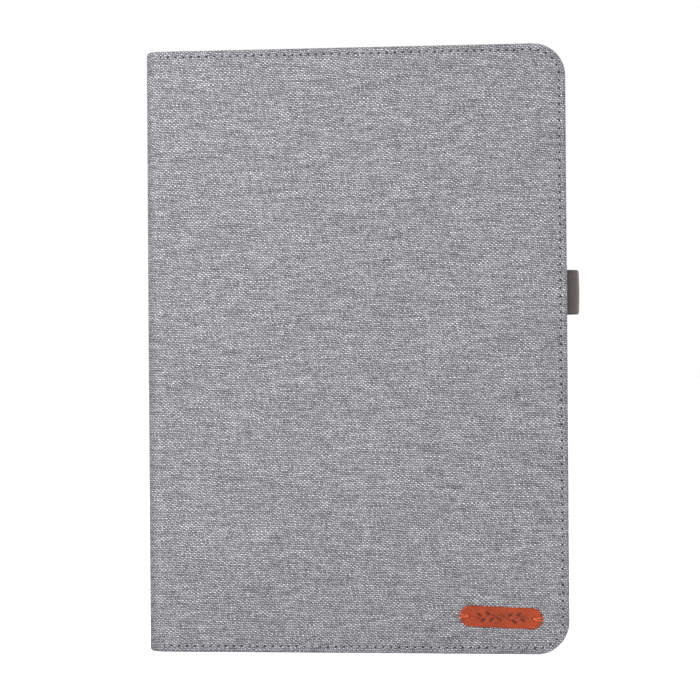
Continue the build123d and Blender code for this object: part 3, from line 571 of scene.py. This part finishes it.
def cover_sheet(name, u0, u1, side, profile, insets, slot_name, depth=0.0, seam=True):
    """A cover's cloth: rows that follow its outline from the turned edge inwards, then a middle grid."""
    columns, n_across, n_up = cover_outline(u0, u1)
    bu, bz, iu, iz, along = columns.T
    rows = profile + [(s, depth, -s) for s in insets] + [(sizes().corner, depth, -sizes().corner)]
    points, cloth, bend_shade = [], [], []
    for inset, deep, beyond in rows:
        pull = seam_pull(inset, along) if seam and deep == depth else 0
        bend_shade.append(bend_shade_amount(bu + iu * inset))
        points.append(wrapped(bu + iu * inset, bz + iz * inset, deep + pull, side))
        cloth.append(np.stack([side * (bu - iu * beyond), bz - iz * beyond], axis=-1))
    faces = grid_faces(len(rows), len(columns), flip=side == FRONT)
    first = len(rows) * len(columns)
    inner_u = bu[: n_across + 1]
    inner_z = HEIGHT - sizes().corner - (HEIGHT - 2 * sizes().corner) * np.arange(n_up + 1) / n_up
    grid_z, grid_u = np.meshgrid(inner_z, inner_u, indexing="ij")
    points.append(wrapped(grid_u, grid_z, depth, side).reshape(-1, 3))
    cloth.append(np.stack([side * grid_u, grid_z], axis=-1).reshape(-1, 2))
    bend_shade.append(np.zeros(grid_u.size))
    faces += grid_faces(n_up + 1, n_across + 1, first, flip=side == FRONT)
    points, cloth, bend_shade = (np.concatenate(part) for part in (points, cloth, bend_shade))
    return add_object(name, points, faces, slot_name, cloth, bend_shade, merge=True)


def band_sheet(name, us, side, profile, insets, slot_name, depth=0.0, seam_from=None):
    """Cloth that runs the case's whole height between two folds, with turned edges at its top and bottom."""
    rows = profile + [(s, depth, -s) for s in insets]
    middle = np.linspace(sizes().corner, HEIGHT - sizes().corner, 60)[::-1]
    levels = [(HEIGHT - s, d, HEIGHT + e, s) for s, d, e in rows]
    levels += [(z, depth, z, HEIGHT) for z in middle]
    levels += [(s, d, -e, s) for s, d, e in rows[::-1]]
    us = np.asarray(us)
    points, cloth, bend_shade = [], [], []
    for z, deep, v, inset in levels:
        pull = 0 if seam_from is None or deep != depth else seam_pull(inset, np.abs(us - seam_from))
        bend_shade.append(bend_shade_amount(us))
        points.append(wrapped(us, z, deep + pull, side))
        cloth.append(np.stack([side * us, np.full(len(us), v)], axis=-1))
    faces = grid_faces(len(levels), len(us), flip=side == FRONT)
    points, cloth, bend_shade = (np.concatenate(part) for part in (points, cloth, bend_shade))
    return add_object(name, points, faces, slot_name, cloth, bend_shade)


def columns_between(u0, u1, step):
    """Evenly spaced places along the cloth, both ends included."""
    return np.linspace(u0, u1, max(2, ceil((u1 - u0) / step) + 1))


class CASE_OT_cloth(bpy.types.Operator):
    """Lays the woven cloth over the front cover, spine, back cover and kickstand"""

    bl_idname = "case.cloth"
    bl_label = "Outer Cloth"

    def execute(self, context):
        profile, insets = edge_profile(PANEL_T + HEM_RISE, sizes().hem), face_insets()
        front = cover_sheet("front_cover_cloth", FOLD_U, EDGE_U, FRONT, profile, insets, "grey_fabric")
        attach(front, "front_cover")
        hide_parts("front_skin")

        thin = edge_profile(PANEL_T - HEM_RISE, sizes().hem)
        flap = cover_sheet("kickstand_cloth", STAND_U1, EDGE_U, BACK, thin, insets, "grey_fabric")
        self.cut_window(flap)
        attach(flap, "kickstand")
        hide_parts("kickstand_skin")

        third = sizes().pitch / 3
        width = columns_between(FOLD_U, STAND_U0, third)
        back = band_sheet(
            "back_cover_cloth", width, BACK, profile, insets, "grey_fabric", seam_from=FOLD_U
        )
        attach(back, "back")
        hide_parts("back_skin")

        both = columns_between(-SPINE_HALF, SPINE_HALF, 0.7 * MM)
        spine = band_sheet("spine_cloth", both, FRONT, profile, insets, "grey_fabric")
        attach(spine, "spine")
        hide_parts("spine_skin")

        bend = columns_between(SPINE_HALF, FOLD_U, 0.5 * MM)
        for name, side, cover, node_name in (
            ("front_fold_cloth", FRONT, "front_cover", "front_fold_strip"),
            ("back_fold_cloth", BACK, "back", "back_fold_strip"),
        ):
            strip = band_sheet(name, bend, side, profile, insets, "grey_fabric")
            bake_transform(strip)
            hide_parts(node_name)
        hinge = columns_between(STAND_U0, STAND_U1, 0.2 * MM)
        strip = band_sheet("kickstand_fold_cloth", hinge, BACK, profile, insets, "grey_fabric")
        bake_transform(strip)
        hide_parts("kickstand_fold_strip")
        return {"FINISHED"}

    @staticmethod
    def cut_window(flap):
        """Cuts the camera window in the kickstand's cloth and turns the cloth in round it."""
        node_low, node_high = window_box()
        middle = (node_low + node_high) / 2
        half, radius = (node_high.x - node_low.x) / 2, 5 * MM
        roll_depth, roll_in = 0.25 * MM, 0.2 * MM  # the cloth rolls over the board before it turns in
        work = bmesh.new()
        work.from_mesh(flap.data)

        def offset(co):
            """The nearest point on the window's outline, and how far outside it this point is."""
            dx, dz = co.x - middle.x, co.z - middle.z
            flat = half - radius
            cx, cz = max(-flat, min(flat, dx)), max(-flat, min(flat, dz))
            away = Vector((dx - cx, dz - cz))
            if away.length < 1e-9:
                return None, -1
            away.normalize()
            return Vector((middle.x + cx + away.x * radius, co.y, middle.z + cz + away.y * radius)), hypot(
                dx - cx, dz - cz
            ) - radius

        inside = []
        for face in work.faces:
            centre = face.calc_center_median()
            if centre.y > Y_BACK - 0.5 * MM and offset(centre)[1] < 0:
                inside.append(face)
        bmesh.ops.delete(work, geom=inside, context="FACES")
        rim = [
            edge
            for edge in work.edges
            if edge.is_boundary and all((v.co - middle).xz.length < 2 * half for v in edge.verts)
        ]
        for vert in {v for edge in rim for v in edge.verts}:
            vert.co = offset(vert.co)[0] or vert.co
        layer = work.loops.layers.uv.active
        for depth in (roll_depth, PANEL_T):
            made = bmesh.ops.extrude_edge_only(work, edges=rim)
            fresh = [g for g in made["geom"] if isinstance(g, bmesh.types.BMVert)]
            rim = [g for g in made["geom"] if isinstance(g, bmesh.types.BMEdge) and g.is_boundary]
            for vert in fresh:
                vert.co.y = Y_BACK - depth
                toward = (middle - vert.co) * Vector((1, 0, 1))
                if depth == roll_depth:
                    vert.co += toward.normalized() * roll_in
        for loop in (l for f in work.faces for l in f.loops if (l.vert.co - middle).xz.length < 2 * half):
            loop[layer].uv = (-(FOLD_U + loop.vert.co.x - X_FOLD), loop.vert.co.z + (Y_BACK - loop.vert.co.y))
        work.normal_update()
        for face in work.faces:
            face.smooth = True
        work.to_mesh(flap.data)
        work.free()


def window_box():
    """The camera window's corners in the kickstand, from the hole in its lining's mesh."""
    mesh = frame["nodes"]["kickstand_lining"].data
    points = np.array([v.co for v in mesh.vertices])
    low, high = points.min(axis=0), points.max(axis=0)
    keep = (points[:, 0] > low[0] + 20 * MM) & (points[:, 2] > HEIGHT / 2)
    keep &= (points[:, 0] < high[0] - 5 * MM) & (points[:, 2] < high[2] - 5 * MM)
    hole = points[keep]
    return Vector(hole.min(axis=0)), Vector(hole.max(axis=0))


# --- Seams ----------------------------------------------------------------------------------------
def seam_spots(u0, u1, rounded):
    """A function from distance along a seam to (u, z, heading), and the seam's length."""
    inset = sizes().seam_inset
    radius = sizes().corner - inset if rounded else 2 * sizes().pitch
    across, up = u1 - inset - radius - u0, HEIGHT - 2 * (inset + radius)
    turn = radius * pi / 2
    lengths = [across, turn, up, turn, across]

    def spot(along):
        for part, size in enumerate(lengths):
            if along <= size or part == 4:
                break
            along -= size
        a = along / radius
        right, top, low = u1 - inset - radius, HEIGHT - inset - radius, inset + radius
        return [
            (u0 + along, HEIGHT - inset, 0.0),
            (right + radius * sin(a), top + radius * cos(a), -a),
            (u1 - inset, top - along, -pi / 2),
            (right + radius * cos(a), low - radius * sin(a), -pi / 2 - a),
            (right - along, inset, -pi),
        ][part]

    return spot, sum(lengths)


def lay_seam(name, u0, u1, side, rounded, body, node_name):
    """A lockstitch seam: one short thread over each stretch of cloth, and between each two a needle hole, drawn
    as a dark disc of painted shadow.
    """
    spot, total = seam_spots(u0, u1, rounded)
    count = round(total / sizes().pitch)
    pitch = total / count
    rng = random.Random(name)
    threads, thread_faces, holes, hole_faces = [], [], [], []
    half = 0.36 * pitch  # the rest of each stitch dives into its holes
    proud, dive = 0.13 * MM, 0.42 * MM
    hole_length, hole_width, hole_sides = 0.66 * MM, 0.44 * MM, 10
    for k in range(count):
        u, z, angle = spot((k + 0.5) * pitch)
        angle += radians(rng.uniform(2.0, 7.0))
        path = []
        for step in np.linspace(-1, 1, 7):
            lift = proud - dive * step**4
            shift_u, shift_z = half * step * cos(angle), half * step * sin(angle)
            path.append(wrapped(u + shift_u, z + shift_z, -lift, side))
        made, faces = tube(path, sizes().thread, 8, 0.8, len(threads))
        threads += made
        thread_faces += faces
    for k in range(count + 1):
        u, z, angle = spot(min(k * pitch, total))
        angle += radians(rng.uniform(4.0, 16.0))
        first = len(holes)
        for corner in range(hole_sides):
            a = 2 * pi * corner / hole_sides
            along, across = hole_length * cos(a), hole_width * sin(a)
            shift_u = along * cos(angle) - across * sin(angle)
            shift_z = along * sin(angle) + across * cos(angle)
            holes.append(wrapped(u + shift_u, z + shift_z, sizes().groove * 0.55, side))
        order = list(range(first, first + hole_sides))
        hole_faces.append(order[::-1] if side == FRONT else order)
    seam = add_object(name, threads, thread_faces, "grey_thread")
    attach(seam, body)
    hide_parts(node_name)
    hole_shadows = add_object(name + "_hole_shadows", holes, hole_faces, "grey_thread")
    hole_shadows.data.materials[0] = MATERIALS["needle_hole"]
    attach(hole_shadows, body)


class CASE_OT_seams(bpy.types.Operator):
    """Sews the lines of stitches round the covers"""

    bl_idname = "case.seams"
    bl_label = "Seams"

    def execute(self, context):
        lay_seam("front_seam_stitches", FOLD_U, EDGE_U, FRONT, True, "front_cover", "seam_thread")
        lay_seam("back_seam_stitches", FOLD_U, STAND_U0, BACK, False, "back", "back_seam_thread")
        lay_seam(
            "kickstand_seam_stitches", STAND_U1, EDGE_U, BACK, True, "kickstand", "kickstand_seam_thread"
        )
        return {"FINISHED"}


# --- Linings --------------------------------------------------------------------------------------
class CASE_OT_linings(bpy.types.Operator):
    """Glues the microfibre linings inside the covers and wraps the tablet stop"""

    bl_idname = "case.linings"
    bl_label = "Linings"

    def execute(self, context):
        insets = [2.6 * MM, 4 * MM, 8 * MM]
        depth, width = PANEL_T + LINING_RISE, HEIGHT - 3.2 * MM
        rim = [(1.6 * MM, PANEL_T, -1.6 * MM), (1.6 * MM, depth, -1.6 * MM)]
        front = cover_sheet(
            "front_cover_lining", FOLD_U, EDGE_U, FRONT, rim, insets, "lining", depth=depth, seam=False
        )
        front.data.flip_normals()
        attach(front, "front_cover")
        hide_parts("front_lining")
        stand_depth = PANEL_T - 0.08 * MM
        stand_rim = [(1.6 * MM, stand_depth - 0.2 * MM, -1.6 * MM), (1.6 * MM, stand_depth, -1.6 * MM)]
        flap = cover_sheet(
            "kickstand_lining_cloth", STAND_U1, EDGE_U, BACK, stand_rim, insets, "lining", depth=stand_depth,
            seam=False,
        )
        flap.data.flip_normals()
        self.open_window(flap)
        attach(flap, "kickstand")
        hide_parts("kickstand_lining")
        spine_us = columns_between(-SPINE_HALF, SPINE_HALF, 1 * MM)
        spine = band_sheet("spine_lining_cloth", spine_us, FRONT, rim, insets, "lining", depth=depth)
        spine.data.flip_normals()
        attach(spine, "spine")
        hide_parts("spine_lining")
        bend = columns_between(SPINE_HALF, FOLD_U, 0.5 * MM)
        for name, side, cover in (
            ("front_fold_lining", FRONT, "front_cover"),
            ("back_fold_lining", BACK, "back"),
        ):
            strip = band_sheet(name, bend, side, rim, insets, "lining", depth=depth)
            strip.data.flip_normals()
            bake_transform(strip)
        self.wrap_stop()
        return {"FINISHED"}

    @staticmethod
    def open_window(flap):
        low, high = window_box()
        work = bmesh.new()
        work.from_mesh(flap.data)
        inside = []
        for face in work.faces:
            centre = face.calc_center_median()
            if low.x < centre.x < high.x and low.z < centre.z < high.z:
                inside.append(face)
        bmesh.ops.delete(work, geom=inside, context="FACES")
        work.to_mesh(flap.data)
        work.free()

    @staticmethod
    def wrap_stop():
        """The bar that holds the tablet's lower edge, wrapped in lining with crowned ends."""
        low, high = corners("tablet_stop")
        half_x, half_z, tall = (high.x - low.x) / 2, (high.z - low.z) / 2, high.y - low.y
        points, faces, cloth = [], [], []
        rows, columns = 25, 90
        squareness, end_crown = 0.45, 40  # a boxy section, whose ends are rounded only at the last
        for j in range(columns + 1):
            place = j / columns * 2 - 1
            taper = (1 - abs(place) ** end_crown) ** 0.5 if abs(place) < 1 else 0.0
            for i in range(rows):
                a = pi * i / (rows - 1)
                x = -half_x * np.sign(cos(a)) * abs(cos(a)) ** squareness
                y = tall * (0.25 + 0.75 * taper) * sin(a) ** squareness
                points.append(((low.x + high.x) / 2 + x, low.y + y, (low.z + high.z) / 2 + place * half_z))
                cloth.append((i * 0.5 * MM, place * half_z))
        faces = grid_faces(columns + 1, rows)
        bar = add_object("tablet_stop_cover", points, faces, "lining", cloth)
        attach(bar, "front_cover")
        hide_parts("tablet_stop")


# --- Tag ------------------------------------------------------------------------------------------
class CASE_OT_tag(bpy.types.Operator):
    """Presses and stitches the leather tag"""

    bl_idname = "case.tag"
    bl_label = "Leather Tag"

    tilt: bpy.props.FloatProperty(
        name="Tilt", description="How far the tag leans on the cover", default=radians(-2.3), subtype="ANGLE"
    )

    def execute(self, context):
        low, high = corners("label")
        middle = (low + high) / 2
        length_, width, thick = 34.3 * MM, 8.8 * MM, high.y - low.y
        end_r, hole_x = width / 2 - 0.3 * MM, length_ / 2 - 3.8 * MM
        rim, pit_r, pressed_in, pit_depth = 0.55 * MM, 0.75 * MM, 0.22 * MM, 0.5 * MM
        n_along, n_across = 260, 72

        def half_width(x):
            over = max(0.0, abs(x) - (length_ / 2 - end_r))
            return width / 2 - end_r + max(end_r**2 - over**2, 0.0) ** 0.5

        def to_edge(x, y):
            qx, qy = abs(x) - (length_ / 2 - end_r), abs(y) - (width / 2 - end_r)
            return end_r - hypot(max(qx, 0), max(qy, 0)) - min(max(qx, qy), 0)

        def pressed(x, y):
            """How deep the ornament is pressed here, from 0 to 1: a lozenge between leafy stems and dots."""
            far, up = abs(x) / MM, y / MM * (1 if x > 0 else -1)
            lozenge = 1.7 - (far / 1.25 + abs(up))
            ring = max(0.34 - abs(lozenge - 0.3), 0.46 - hypot(far, up))
            t = (far - 6.3) / 4.3
            stem = 0.26 - abs(up - 0.95 * sin(3.1 * t)) if abs(t) < 1 else -1.0
            leaves = [
                0.78 * (1 - ((far - at) / 1.25) ** 2) - abs(up - rise - tip * (far - at))
                for at, rise, tip in (
                    (3.9, 1.15, 0.5), (5.6, -1.55, -0.4), (7.4, 1.55, 0.4), (9.0, -0.7, -0.5)
                )
                if abs(far - at) < 1.25
            ]
            dot = 0.38 - hypot(far - 11.4, up)
            return min(1.0, max(0.0, max(ring, stem, dot, *leaves, -1.0) / 0.2))

        place = Matrix.Translation(middle) @ Matrix.Rotation(-self.tilt, 4, "Y")
        points, press = [], []
        for i in range(n_along + 1):
            share = i / n_along - 0.5
            x = length_ / 2 * sin(pi * share) * 0.25 + 0.75 * length_ * share
            wide = max(half_width(x), 0.02 * MM)
            for j in range(n_across + 1):
                y = wide * sin(pi * (j / n_across - 0.5)) * 0.3 + 0.7 * wide * (2 * j / n_across - 1)
                edge = min(max(to_edge(x, y), 0) / rim, 1)
                round_off = 1 - (1 - (1 - edge) ** 2) ** 0.5
                deep = pressed(x, y)
                hole = min(hypot(x - hole_x, y), hypot(x + hole_x, y))
                pit = max(0.0, 1 - hole / pit_r)
                lift = thick * (1 - 0.8 * round_off) - pressed_in * deep - pit_depth * pit
                points.append(place @ Vector((x, thick / 2 - lift, y)))
                press.append(max(deep * 0.9, min(1.0, pit * 1.6), 0.25 * (round_off > 0.5)))
        faces = grid_faces(n_along + 1, n_across + 1)
        border = [i * (n_across + 1) for i in range(n_along + 1)]
        border += [n_along * (n_across + 1) + j for j in range(1, n_across + 1)]
        border += [i * (n_across + 1) + n_across for i in range(n_along - 1, -1, -1)]
        border += [j for j in range(n_across - 1, 0, -1)]
        first = len(points)
        for index in border:
            spot = points[index].copy()
            spot.y = high.y
            points.append(spot)
            press.append(1.0)
        for k in range(len(border)):
            nxt = (k + 1) % len(border)
            faces.append((border[k], first + k, first + nxt, border[nxt]))
        tag = add_object("leather_tag", points, faces, "leather")
        tag.data.attributes.new("press", "FLOAT", "POINT").data.foreach_set("value", press)
        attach(tag, "front_cover")
        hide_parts("label")

        strands, strand_faces = [], []
        for end in (-1, 1):
            for lane in (-1, 1):
                path = []
                for t in np.linspace(0, 1, 13):
                    x = end * (hole_x + (length_ / 2 + 0.45 * MM - hole_x) * t)
                    rise = 0.38 * MM * sin(pi * t) ** 0.35 if 0 < t < 1 else 0.0
                    drop = 0.6 * MM * max(0.0, t - 0.86) / 0.14 + 0.35 * MM * max(0.0, 0.08 - t) / 0.08
                    y = thick / 2 - thick - rise + drop
                    path.append(place @ Vector((x, y, lane * MM * (0.2 + 0.45 * t))))
                made, faces = tube(path, 0.3 * MM, 8, 0.8, len(strands))
                strands += made
                strand_faces += faces
        thread = add_object("tag_stitches", strands, strand_faces, "orange_thread")
        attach(thread, "front_cover")
        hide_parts("label_thread")
        return {"FINISHED"}


# --- Pen loop -------------------------------------------------------------------------------------
class CASE_OT_pen_loop(bpy.types.Operator):
    """Folds the elastic webbing into the pen loop"""

    bl_idname = "case.pen_loop"
    bl_label = "Pen Loop"

    def execute(self, context):
        low, high = corners("pen_loop")
        radius = (high.y - low.y) / 2
        thick, rib_depth = 0.8 * MM, 0.05 * MM
        wound = 0.985  # share of a full turn, so that the webbing's end lies beside its start
        centre = Vector((high.x - radius, (low.y + high.y) / 2, (low.z + high.z) / 2))
        route = [Vector((low.x, high.y - thick / 2)), Vector(((low.x + centre.x) / 2, high.y - thick / 2))]
        mid_r = radius - thick / 2
        steps = 72
        for k in range(steps + 1):
            a = pi / 2 - 2 * pi * wound * k / steps
            route.append(Vector((centre.x + mid_r * cos(a), centre.y + mid_r * sin(a))))
        across = np.linspace(-1, 1, 25)
        half = (high.z - low.z) / 2
        outer, inner, outer_uv, far = [], [], [], 0.0
        for i, spot in enumerate(route):
            ahead = (route[min(i + 1, len(route) - 1)] - route[max(i - 1, 0)]).normalized()
            normal = Vector((-ahead.y, ahead.x))
            far += (spot - route[i - 1]).length if i else 0.0
            for w in across:
                swell = 1 - 0.05 * (w * w) * (spot.x > centre.x)
                place = Vector((centre.x + (spot.x - centre.x) * swell, spot.y))
                rim = thick / 2 * (1 - 0.75 * max(0.0, (abs(w) - 0.94) / 0.06) ** 2)
                rib = rib_depth * abs(sin(pi * far / RIB))
                z = centre.z + w * half
                outer.append(((place + normal * (rim - rib)).to_3d() + Vector((0, 0, z))))
                inner.append(((place - normal * rim).to_3d() + Vector((0, 0, z))))
                outer_uv.append((far, w * half))
        n, m = len(route), len(across)
        faces = grid_faces(n, m) + grid_faces(n, m, n * m, flip=True)
        for i in range(n - 1):
            for j in (0, m - 1):
                a, b = i * m + j, (i + 1) * m + j
                quad = (a, b, b + n * m, a + n * m)
                faces.append(quad if j else quad[::-1])
        for i in (0, n - 1):
            for j in range(m - 1):
                a, b = i * m + j, i * m + j + 1
                quad = (a, b, b + n * m, a + n * m)
                faces.append(quad[::-1] if i else quad)
        loop = add_object("pen_loop_webbing", outer + inner, faces, "elastic", outer_uv + outer_uv)
        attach(loop, "back")
        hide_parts("pen_loop")
        return {"FINISHED"}


# --- Keys -----------------------------------------------------------------------------------------
LEGENDS = {
    "function_keys": ["esc"] + [f"F{n}" for n in range(1, 13)] + ["del"],
    "number_keys": list("`1234567890-="),
    "backspace_key": ["back"],
    "tab_key": ["tab"],
    "upper_letter_keys": list("QWERTYUIOP[]\\"),
    "caps_key": ["caps"],
    "home_letter_keys": list("ASDFGHJKL;'"),
    "enter_key": ["enter"],
    "left_shift_key": ["shift"],
    "lower_letter_keys": list("ZXCVBNM,./"),
    "right_shift_key": ["shift"],
    "modifier_keys": ["ctrl", "fn", "cmd", "alt", "alt", "ctrl"],
    "arrow_keys": ["<", "^", "v", ">"],
}


def islands(work):
    """The separate pieces of a mesh, each as a list of its vertices."""
    bmesh.ops.remove_doubles(work, verts=work.verts, dist=0.001 * MM)
    seen, found = set(), []
    for start in work.verts:
        if start in seen:
            continue
        island, queue = [], [start]
        seen.add(start)
        while queue:
            vert = queue.pop()
            island.append(vert)
            for edge in vert.link_edges:
                other = edge.other_vert(vert)
                if other not in seen:
                    seen.add(other)
                    queue.append(other)
        found.append(island)
    return found


def extent(verts):
    """The lowest and highest corner of some vertices."""
    points = np.array([vert.co for vert in verts])
    return Vector(points.min(axis=0)), Vector(points.max(axis=0))


def key_boxes(name):
    """The lowest and highest corner of each keycap in a group, in the order a typist reads them."""
    work = bmesh.new()
    work.from_mesh(frame["nodes"][name].data)
    boxes = [extent(island) for island in islands(work)]
    work.free()
    return sorted(boxes, key=lambda box: (round(-(box[0].z + box[1].z) / (4 * MM)), box[0].x + box[1].x))


def key_tops(name):
    """The middle of each keycap's top in a group, in the order a typist reads them."""
    return [Vector(((low.x + high.x) / 2, high.y, (low.z + high.z) / 2)) for low, high in key_boxes(name)]


class CASE_OT_domes(bpy.types.Operator):
    """Sorts the rubber domes under their groups of keys, one piece for each group"""

    bl_idname = "case.domes"
    bl_label = "Rubber Domes"

    def execute(self, context):
        mesh = frame["nodes"]["key_domes"].data
        low, high = corners("key_domes")
        sheet_top = max(v.co.y for v in mesh.vertices if v.co.x < low.x + 0.01 * MM) + 0.01 * MM
        sheet = self.keep_faces("dome_sheet", mesh, lambda face: all(v.co.y < sheet_top for v in face.verts))
        clearance = 0.05 * MM  # the sheet is drawn this much thinner, to clear keys that are pressed right down
        for vert in sheet.data.vertices:
            vert.co.y = max(low.y, vert.co.y - clearance)
        for group in [*LEGENDS, "space_bar"]:
            boxes = key_boxes(group)

            def beneath(face):
                spot = face.calc_center_median()
                crown = any(v.co.y > sheet_top for v in face.verts)
                return crown and any(a.x < spot.x < b.x and a.z < spot.z < b.z for a, b in boxes)

            domes = self.keep_faces(group + "_domes", mesh, beneath)
            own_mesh(domes)
        return {"FINISHED"}

    @staticmethod
    def keep_faces(name, source, wanted):
        """A piece of the rubber sheet: the faces of its mesh that are wanted."""
        work = bmesh.new()
        work.from_mesh(source)
        bmesh.ops.delete(work, geom=[face for face in work.faces if not wanted(face)], context="FACES")
        if not work.faces:
            raise RuntimeError(f"{name} has no faces")
        mesh = bpy.data.meshes.new(name)
        work.to_mesh(mesh)
        work.free()
        mesh.materials.append(MATERIALS["dome_rubber"])
        obj = bpy.data.objects.new(name, mesh)
        bpy.context.scene.collection.objects.link(obj)
        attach(obj, "front_cover")
        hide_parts("key_domes")
        return obj


class CASE_OT_legends(bpy.types.Operator):
    """Prints plain letters, numbers and words on the keys"""

    bl_idname = "case.legends"
    bl_label = "Key Legends"

    def execute(self, context):
        # A typist sits beyond the free edge, so letters stand towards the spine and read down the case.
        reading = Matrix(((0, -1, 0, 0), (0, 0, 1, 0), (-1, 0, 0, 0), (0, 0, 0, 1)))
        word_share, ink, rise = 0.62, 0.01 * MM, 0.02 * MM
        for group, words in LEGENDS.items():
            tops = key_tops(group)
            if len(tops) != len(words):
                raise RuntimeError(f"{group} has {len(tops)} keys and {len(words)} legends")
            work = bmesh.new()
            for top, word in zip(tops, words):
                curve = bpy.data.curves.new("legend", "FONT")
                curve.body = word
                curve.size = sizes().legend * (1.0 if len(word) == 1 else word_share)
                curve.align_x, curve.align_y = "CENTER", "CENTER"
                curve.extrude = ink
                curve.resolution_u = 4
                text = bpy.data.objects.new("legend", curve)
                mesh = bpy.data.meshes.new_from_object(text)
                mesh.transform(Matrix.Translation(top + Vector((0, rise, 0))) @ reading)
                work.from_mesh(mesh)
                bpy.data.objects.remove(text)
                bpy.data.curves.remove(curve)
                bpy.data.meshes.remove(mesh)
            mesh = bpy.data.meshes.new(group + "_legends")
            work.to_mesh(mesh)
            work.free()
            mesh.materials.append(MATERIALS["legend_ink"])
            obj = bpy.data.objects.new(group + "_legends", mesh)
            context.scene.collection.objects.link(obj)
            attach(obj, group)
        return {"FINISHED"}


# --- Carried-over nodes ---------------------------------------------------------------------------
class CASE_OT_finishes(bpy.types.Operator):
    """Makes every material and gives it to the moulded and metal parts"""

    bl_idname = "case.finishes"
    bl_label = "Materials"

    def execute(self, context):
        MATERIALS.update(make_materials())
        # Shadow in a needle hole: nearly black and matt.
        MATERIALS["needle_hole"] = grained("needle_hole_shadow", linear("#17171A"), 0.95, 0.2 * MM, 0.02 * MM)
        # Pad-printed ink: flat off-white.
        MATERIALS["legend_ink"] = grained("pad_printed_ink", linear("#F0F0F0"), 0.6, 0.2 * MM, 0.002 * MM)
        for sub in frame["record"]["subparts"]:
            obj = frame["nodes"][sub["node"]]
            obj.data.materials.clear()
            obj.data.materials.append(MATERIALS[sub["material_slot"]])
        return {"FINISHED"}


# --- Stage ----------------------------------------------------------------------------------------
class CASE_OT_stage(bpy.types.Operator):
    """Sets up the pale floor, the soft lights and the camera"""

    bl_idname = "case.stage"
    bl_label = "Stage"

    azimuth: bpy.props.FloatProperty(name="Azimuth", default=radians(5.47), subtype="ANGLE",
                                     description="How far the camera stands to the right of straight ahead")
    elevation: bpy.props.FloatProperty(name="Elevation", default=radians(-0.44), subtype="ANGLE",
                                       description="How far the camera looks down on the case")
    roll: bpy.props.FloatProperty(name="Roll", default=radians(-0.41), subtype="ANGLE",
                                  description="How far the camera leans")
    distance: bpy.props.FloatProperty(name="Distance", default=0.831, unit="LENGTH",
                                      description="From the camera to the middle of the case")

    def execute(self, context):
        scene = context.scene
        scene.view_settings.view_transform = "Standard"
        data = bpy.data.cameras.new("camera")
        data.lens, data.sensor_width = 100, 36
        camera = bpy.data.objects.new("camera", data)
        scene.collection.objects.link(camera)
        a, e, r = self.azimuth, self.elevation, self.roll
        back = Vector((sin(a) * cos(e), -cos(a) * cos(e), sin(e)))
        right = Vector((cos(a), sin(a), 0))
        up = back.cross(right)
        right, up = right * cos(r) + up * sin(r), up * cos(r) - right * sin(r)
        aim = Vector((-5.55 * MM, 0, HEIGHT / 2))
        turn = Matrix((right, up, back)).transposed().to_4x4()
        camera.matrix_world = Matrix.Translation(aim + back * self.distance) @ turn
        scene.camera = camera

        world = bpy.data.worlds.new("soft_white")
        world.use_nodes = True
        sky = world.node_tree.nodes["Background"]
        sky.inputs["Color"].default_value = (1, 1, 1, 1)
        sky.inputs["Strength"].default_value = 1.0
        scene.world = world
        for name, place, size, power in (
            ("key_light", (-0.42, -0.50, 0.45), 0.5, 6.0),
            ("back_light", (0.42, 0.50, 0.45), 0.5, 6.0),
        ):
            lamp = bpy.data.lights.new(name, "AREA")
            lamp.size, lamp.energy = size, power
            light = bpy.data.objects.new(name, lamp)
            light.location = place
            aim_at = Vector((0, 0, HEIGHT / 2)) - Vector(place)
            light.rotation_euler = aim_at.to_track_quat("-Z", "Y").to_euler()
            scene.collection.objects.link(light)

        # Opal acrylic lit from below, as on a product table: white, and soft shadows stay pale.
        material, _, shader = new_material("opal_acrylic_floor")
        shader.inputs["Base Color"].default_value = opaque(linear("#EDEDED"))
        shader.inputs["Roughness"].default_value = 0.7
        shader.inputs["Emission Color"].default_value = (1, 1, 1, 1)
        shader.inputs["Emission Strength"].default_value = 0.35
        mesh = bpy.data.meshes.new("floor")
        reach = 12.0
        mesh.from_pydata([(-reach, -reach, 0), (reach, -reach, 0), (reach, reach, 0), (-reach, reach, 0)], [],
                         [(0, 1, 2, 3)])
        mesh.materials.append(material)
        floor = bpy.data.objects.new("floor", mesh)
        scene.collection.objects.link(floor)
        return {"FINISHED"}


class CASE_PT_panel(bpy.types.Panel):
    """Lists the case's settings and the steps that make it"""

    bl_label = "Tablet Keyboard Case"
    bl_space_type = "VIEW_3D"
    bl_region_type = "UI"
    bl_category = "Case"

    def draw(self, context):
        for group in (context.scene.case_sizes, context.scene.case_colours):
            for name in group.bl_rna.properties.keys():
                if name not in ("rna_type", "name"):
                    self.layout.prop(group, name)
        for operator in STEPS:
            self.layout.operator(operator.bl_idname)


STEPS = (
    CASE_OT_stage, CASE_OT_finishes, CASE_OT_cloth, CASE_OT_seams, CASE_OT_linings, CASE_OT_tag,
    CASE_OT_pen_loop, CASE_OT_domes, CASE_OT_legends,
)


def register():
    for cls in (CaseSizes, CaseColours, *STEPS, CASE_PT_panel):
        bpy.utils.register_class(cls)
    bpy.types.Scene.case_sizes = bpy.props.PointerProperty(type=CaseSizes)
    bpy.types.Scene.case_colours = bpy.props.PointerProperty(type=CaseColours)


def unregister():
    del bpy.types.Scene.case_sizes, bpy.types.Scene.case_colours
    for cls in (CASE_PT_panel, *reversed(STEPS), CaseColours, CaseSizes):
        bpy.utils.unregister_class(cls)


def main():
    """Makes the whole case."""
    register()
    for step in STEPS:
        group, name = step.bl_idname.split(".")
        getattr(getattr(bpy.ops, group), name)()


if __name__ == "__main__":
    main()
